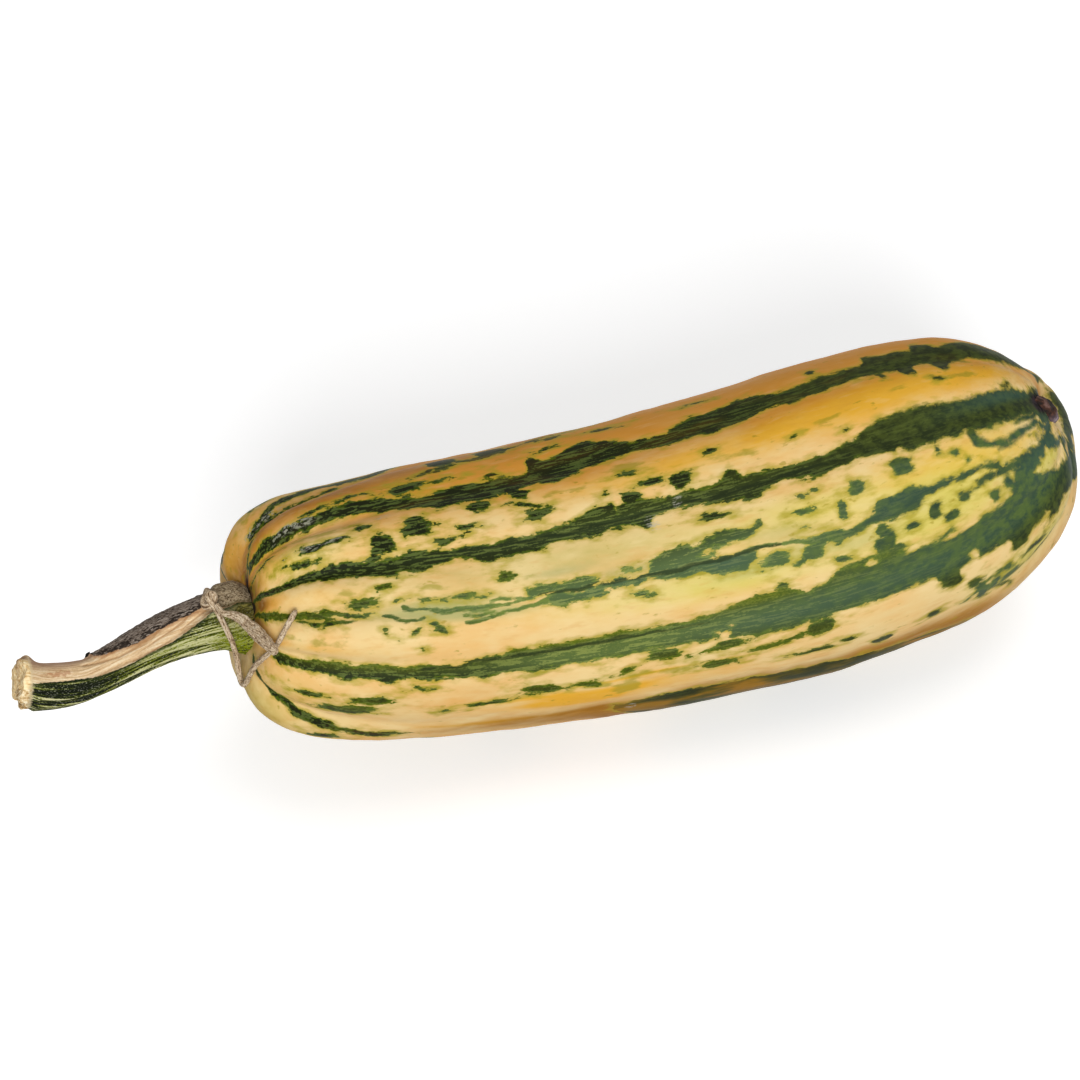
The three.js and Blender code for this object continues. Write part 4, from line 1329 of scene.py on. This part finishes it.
def tear_end(stem, share, degrees):
    """Pulls the cut end into a ragged tear with a point on its front."""
    for name, (start, length, turned, breadth, height) in TEAR_FORMS.items():
        weights = climb(share, start, length) * hill(degrees, turned, breadth)
        lift(stem, name, height, weights, direction="X")
    rougher = SMOOTH_SIDE + (1 - SMOOTH_SIDE) * climb(degrees, *RAGGED_SIDE)
    ragged = climb(share, *TEAR_START) * rougher
    for name, (size, along, out) in TEAR_LUMPS.items():
        for direction, strength in (("X", along), ("NORMAL", out)):
            roughen(stem, name, size, strength, direction=direction,
                    vertex_group=weigh(stem, name, ragged))


def stem_finish():
    """Corky grey-brown bark, a bare tan strip, green ridged skin and a pale fibrous end."""
    finish = Finish("stem_finish", {"Specular IOR Level": 0.06})
    grain = finish.field("grain", "Vector")
    share = finish.field("share")
    lines = finish.noise(finish.stretched(grain, (0.02, 1, 0)), 1600, 1)
    threads = finish.noise(finish.stretched(grain, (0.04, 1, 0)), 2700)
    fibre = finish.noise(grain, 1900, 4, long=0.08)
    rough = finish.noise(grain, 1500, 5, 0.65, long=0.55)
    fuzz = finish.noise(grain, 4200, long=0.4)
    dots = finish.noise(grain, 2600, long=0.5)
    specks = finish.noise(grain, 2400, 3, long=0.35)
    crumbs = finish.noise(grain, 2400, 4, 0.65)
    hollows = finish.noise(grain, 1100, 4, 0.6)
    wander = (rough - 0.5) * 0.9
    in_bare = finish.field("bare") + wander
    in_bark = finish.field("bark") + wander
    # green skin; its ridge term paints the crests paler and the grooves darker as painted light and
    # shade, while the fine lines are the skin's own
    line = lines * 0.7 + threads * 0.3 + finish.field("ridge") * 0.2 + (fuzz - 0.5) * 0.25
    line = line - share.rise(0.55, 0.85) * 0.06 + share.rise(0.6, 0.4) * 0.012
    under = finish.field("under") * (dots + (rough - 0.5)).rise(0.42, 0.58)
    green = finish.coats(
        finish.ramp(line, [(0.52, "#11160a"), (0.57, "#353e12"), (0.61, "#666b2c"),
                           (0.65, "#999a5c"), (0.71, "#cdc99a")]),
        (under * 0.7, "#4d5140"),
        (finish.field("lime") * (0.45 + line.rise(0.5, 0.6) * 0.5), "#7c860a"),
        ((dots + (lines - 0.5) * 0.5).rise(0.43, 0.35) * 0.8, "#141b0b"),
        (finish.field("olive"), finish.mix(rough.rise(0.35, 0.65), "#3a380c", "#948a48")),
        (fuzz.rise(0.58, 0.68) * 0.3, "#c6c7b4"),
        (in_bare.rise(-1.0, -0.35) * 0.75, "#1a2510"))
    # bare wood
    bare = finish.coats(
        finish.ramp(fibre * 0.5 + lines * 0.3 + fuzz * 0.2,
                    [(0.36, "#b58f66"), (0.5, "#d8ba90"), (0.62, "#ecdab8")]),
        (in_bark.rise(-0.9, -0.1) * 0.6, "#96653f"),
        ((finish.field("fold") + (fibre - 0.5) * 0.5).rise(-0.2, 0.05) * 0.6, "#94683c"),
        (finish.field("top_band") * 0.75, finish.mix(fibre, "#8a6652", "#c09a80")),
        ((finish.field("stain") + (rough - 0.5) * 2.0).rise(0.5, 0.9) * 0.6, "#a9673a"))
    # bark, the paler cork of the dome, and the dark along the lower edge
    cork = finish.ramp(crumbs, [(0.36, "#3f3220"), (0.45, "#776650"), (0.54, "#988669"),
                                (0.66, "#b8a98d")])
    bark = finish.coats(
        finish.ramp(fibre * 0.3 + rough * 0.3 + fuzz * 0.4,
                    [(0.37, "#2c241d"), (0.45, "#5f5247"), (0.52, "#83766a"), (0.63, "#ab9e90")]),
        ((specks + in_bark.rise(2.4, 0.2) * 0.17).rise(0.56, 0.63) * 0.9, "#1d1611"),
        (share.rise(0.2, 0.17), cork),
        (in_bark.rise(1.2, 0.0) * share.rise(0.2, 0.15) * 0.6, "#4a401c"))
    # the torn end, crumbly towards the front, with its brown knob
    torn = finish.coats(
        finish.ramp(hollows * 0.5 + fibre * 0.5,
                    [(0.38, "#c4965a"), (0.47, "#f0cf95"), (0.56, "#ffeabc")]),
        ((finish.field("crumbly") + (rough - 0.5)).rise(0.3, 0.7),
         finish.ramp(hollows * 0.6 + crumbs * 0.4, [(0.4, "#744f26"), (0.45, "#b38b52"),
                                                    (0.51, "#dfc290"), (0.58, "#f6e9c8")])),
        (finish.field("knob").rise(0.15, 0.6) * 0.8,
         finish.mix(rough.rise(0.4, 0.6), "#5c3828", "#a67c64")))
    cut = share + (rough - 0.5) * 0.03
    end = cut.rise(0.972, 0.984)
    shade = finish.coats(
        green, (in_bare.rise(-0.12, 0.12), bare), (in_bark.rise(-0.12, 0.12), bark),
        (finish.field("speck").rise(0.3, 0.5), "#0d0b0a"),
        (cut.rise(0.958, 0.974) * 0.7, "#dfcaa0"), (end, torn),
        # painted shade at the foot, where the stem meets the fruit
        (finish.field("contact") * 0.8, "#41290f"))
    height = (lines * 0.5 + threads * 0.5 + fibre * 0.3) * (1 - end) + rough * 0.6 + fuzz * 0.3
    return finish.complete(shade, 0.62 + rough * 0.25, height, 0.0005, 0.7)


# ---- dried tendril and withered stalk ----
# The length in metres that the grain is laid along, the wrinkles as waves round the limb with
# their winding and height, and the later lumps as (size, strength).
TENDRIL = {"sides": 10, "rings": 260, "length": 0.09, "waves": 3, "winding": 150,
           "wrinkle": 0.00022, "lumps": (0.0012, 0.00028)}
STALK = {"sides": 32, "rings": 60, "length": 0.026, "waves": 7, "winding": 5,
         "wrinkle": 0.0005, "lumps": (0.0016, 0.0005)}
STALK_BODY = {"at": 0.6, "length": 0.35}


def wrinkle(limb, form, share, degrees, weights=1.0):
    """Runs wrinkles along a straight limb."""
    waves = 0.5 + 0.5 * np.cos(np.radians(form["waves"] * degrees) + form["winding"] * share)
    apply(limb, "DISPLACE", strength=form["wrinkle"], mid_level=0.5,
          vertex_group=weigh(limb, "wrinkles", waves * weights))


def shape_tendril():
    """A thin vine that winds round the stem, a little thicker where it winds."""
    last = len(TENDRIL_ROUTE) - 1
    stations = []
    for index, place in enumerate(TENDRIL_ROUTE):
        swelling = TENDRIL_COIL["thicker"] * hill(index / last, TENDRIL_COIL["at"],
                                                  TENDRIL_COIL["length"])
        stations.append((*place, TENDRIL_RADIUS * (1 + swelling)))
    tendril, line = stretched_limb("vine_tendril", stations, TENDRIL["sides"], TENDRIL["rings"])
    line.data.twist_mode = "MINIMUM"
    close_limb(tendril, 3, TENDRIL_RADIUS, 3, TENDRIL_RADIUS)
    share, degrees, _ = limb_places(tendril)
    paint_grain(tendril, TENDRIL["length"], TENDRIL_RADIUS)
    wrinkle(tendril, TENDRIL, share, degrees)
    bend_along(tendril, line)
    subdivide(tendril, 1)
    roughen(tendril, "tendril_lumps", *TENDRIL["lumps"])
    bpy.ops.object.shade_smooth()
    return tendril


def shape_stalk():
    """A thick stalk that has shrunk into deep wrinkles, most of all in its middle."""
    stalk, line = stretched_limb("shrivelled_stalk", STALK_STATIONS, STALK["sides"],
                                 STALK["rings"])
    close_limb(stalk, 4, 0.0004, 4, 0.0004)
    subdivide(stalk, 1)
    share, degrees, radius = limb_places(stalk)
    paint_grain(stalk, STALK["length"], radius)
    wrinkle(stalk, STALK, share, degrees, hill(share, STALK_BODY["at"], STALK_BODY["length"]))
    bend_along(stalk, line)
    roughen(stalk, "stalk_lumps", *STALK["lumps"])
    bpy.ops.object.shade_smooth()
    return stalk


def vine_finish():
    """Dry beige-grey vine, painted darker in its creases as shade and paler on its crests as
    highlight.
    """
    finish = Finish("vine_finish", {"Specular IOR Level": 0.2})
    grain = finish.field("grain", "Vector")
    fibre = finish.noise(grain, 3000, 4, 0.6, long=0.12)
    dots = finish.noise(grain, 3600, long=0.5)
    pattern = fibre * 0.55 + dots * 0.45
    # painted shade in the creases and painted highlight on the crests, along the same pattern that
    # bumps the vine
    shade = finish.ramp(pattern, [(0.38, "#5e4730"), (0.46, "#a58c6e"), (0.54, "#cdb798"),
                                  (0.64, "#e6d8c0")])
    return finish.complete(shade, 0.8 + fibre * 0.15, pattern, 0.0006, 0.9)


# ---- blossom scar ----
SCAR_SINK = (-0.0028, -0.0032, 0.0016)
SCAR_RADIUS = 0.0052
SCAR_FLATNESS = (0.55, 0.8, 1.0)
SCAR_TILT = -38


def shape_scar():
    """The corky knob: a lumpy dome that stands a little out of its dimple."""
    low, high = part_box("blossom_scar")
    middle = (low + high) / 2 + Vector(SCAR_SINK)
    scar = start_piece("flower_scar", bpy.ops.mesh.primitive_uv_sphere_add, segments=24,
                       ring_count=14, radius=SCAR_RADIUS, location=middle)
    bpy.ops.object.transform_apply(location=True, rotation=False, scale=False)
    start_editing(scar)
    bpy.ops.mesh.select_all(action="SELECT")
    stretch(SCAR_FLATNESS, middle)
    turn(SCAR_TILT, "Y", middle)
    stop_editing()
    subdivide(scar, 2)
    roughen(scar, "scar_lumps", 0.0028, 0.0014)
    bpy.ops.object.shade_smooth()
    return scar


def scar_finish():
    """Dark brown cork above and a bloom of grey below."""
    finish = Finish("scar_finish", {"Specular IOR Level": 0.2})
    place = finish.node("TexCoord", output="Object")
    patches = finish.noise(place, 420, 4)
    height = finish.node("SeparateXYZ", inputs={0: place}, output="Z")
    lower = (height + (patches - 0.5) * 0.004).rise(0.0722, 0.07)
    brown = finish.ramp(patches, [(0.4, "#150d08"), (0.5, "#452a1e"), (0.62, "#6b5048")])
    grey = finish.ramp(patches, [(0.38, "#3a2c30"), (0.5, "#6f6068"), (0.62, "#98898f")])
    shade = finish.mix(lower, brown, grey)
    return finish.complete(shade, 0.7 + patches * 0.2, patches, 0.0006, 0.7)


# ---- studio ----
FLOOR_SIZE = 6
ROOM_LIGHT = 0.35
# Round lamps that look at the fruit: (place, size in metres, watts).
LAMPS = {"key_lamp": ((-0.35, -1.6, 0.95), 1.0, 26), "top_lamp": ((0.3, 0.2, 1.9), 1.4, 9)}
LAMP_TARGET = Vector((0, 0, 0.04))


def area_lamp(name, place, size, power):
    lamp = start_piece(name, bpy.ops.object.light_add, type="AREA", location=place)
    lamp.data.shape = "DISK"
    lamp.data.size = size
    lamp.data.energy = power
    lamp.rotation_euler = (LAMP_TARGET - Vector(place)).to_track_quat("-Z", "Y").to_euler()


def floor_finish():
    """Plain white: pale to the light, and white to the camera where nothing shades it."""
    finish = Finish("floor_finish", {"Specular IOR Level": 0.0, "Roughness": 1.0,
                                     "Emission Strength": 1.0})
    seen = finish.seen()
    finish.feed("Base Color", finish.mix(seen, "#b4b4b4", "#ffffff"))
    finish.feed("Emission Color", finish.mix(seen, "#000000", "#969696"))
    return finish


def light_room(tree):
    """Soft light from all round, and white where a look goes past the floor."""
    strength = Wiring(tree).seen() * (1 - ROOM_LIGHT) + ROOM_LIGHT
    tree.links.new(strength.socket, tree.nodes["Background"].inputs["Strength"])


def build_studio():
    """The floor, the lamps, the light from all round and the camera."""
    floor = start_piece("floor", bpy.ops.mesh.primitive_plane_add, size=FLOOR_SIZE)
    floor_finish().cover(floor)
    for name, (place, size, power) in LAMPS.items():
        area_lamp(name, place, size, power)
    world = bpy.data.worlds.new("soft_room")
    world.use_nodes = True
    world.node_tree.nodes["Background"].inputs["Color"].default_value = (1, 1, 1, 1)
    light_room(world.node_tree)
    bpy.context.scene.world = world
    azimuth, elevation = math.radians(CAMERA_AZIMUTH), math.radians(CAMERA_ELEVATION)
    back = Vector((math.sin(azimuth) * math.cos(elevation),
                   -math.cos(azimuth) * math.cos(elevation), math.sin(elevation)))
    bpy.ops.object.camera_add(location=CAMERA_TARGET + back * CAMERA_DISTANCE)
    camera = bpy.context.object
    camera.data.lens = CAMERA_LENS
    camera.rotation_euler = (-back).to_track_quat("-Z", "Y").to_euler()
    bpy.context.scene.camera = camera
    bpy.context.scene.view_settings.view_transform = "Standard"


def place_piece(piece, finish, node):
    """Gives a piece its finish and its body, drops its vertex groups and hides its CAD node."""
    finish.cover(piece)
    piece.vertex_groups.clear()
    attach(piece, BODY)
    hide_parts(node)


build_studio()
rind = shape_rind()
finish_rind(rind)
mark_rind(rind)
vine = vine_finish()
place_piece(rind, rind_finish(), "squash_fruit")
place_piece(shape_stem(), stem_finish(), "stem")
place_piece(shape_tendril(), vine, "dried_tendril")
place_piece(shape_stalk(), vine, "withered_stalk")
place_piece(shape_scar(), scar_finish(), "blossom_scar")
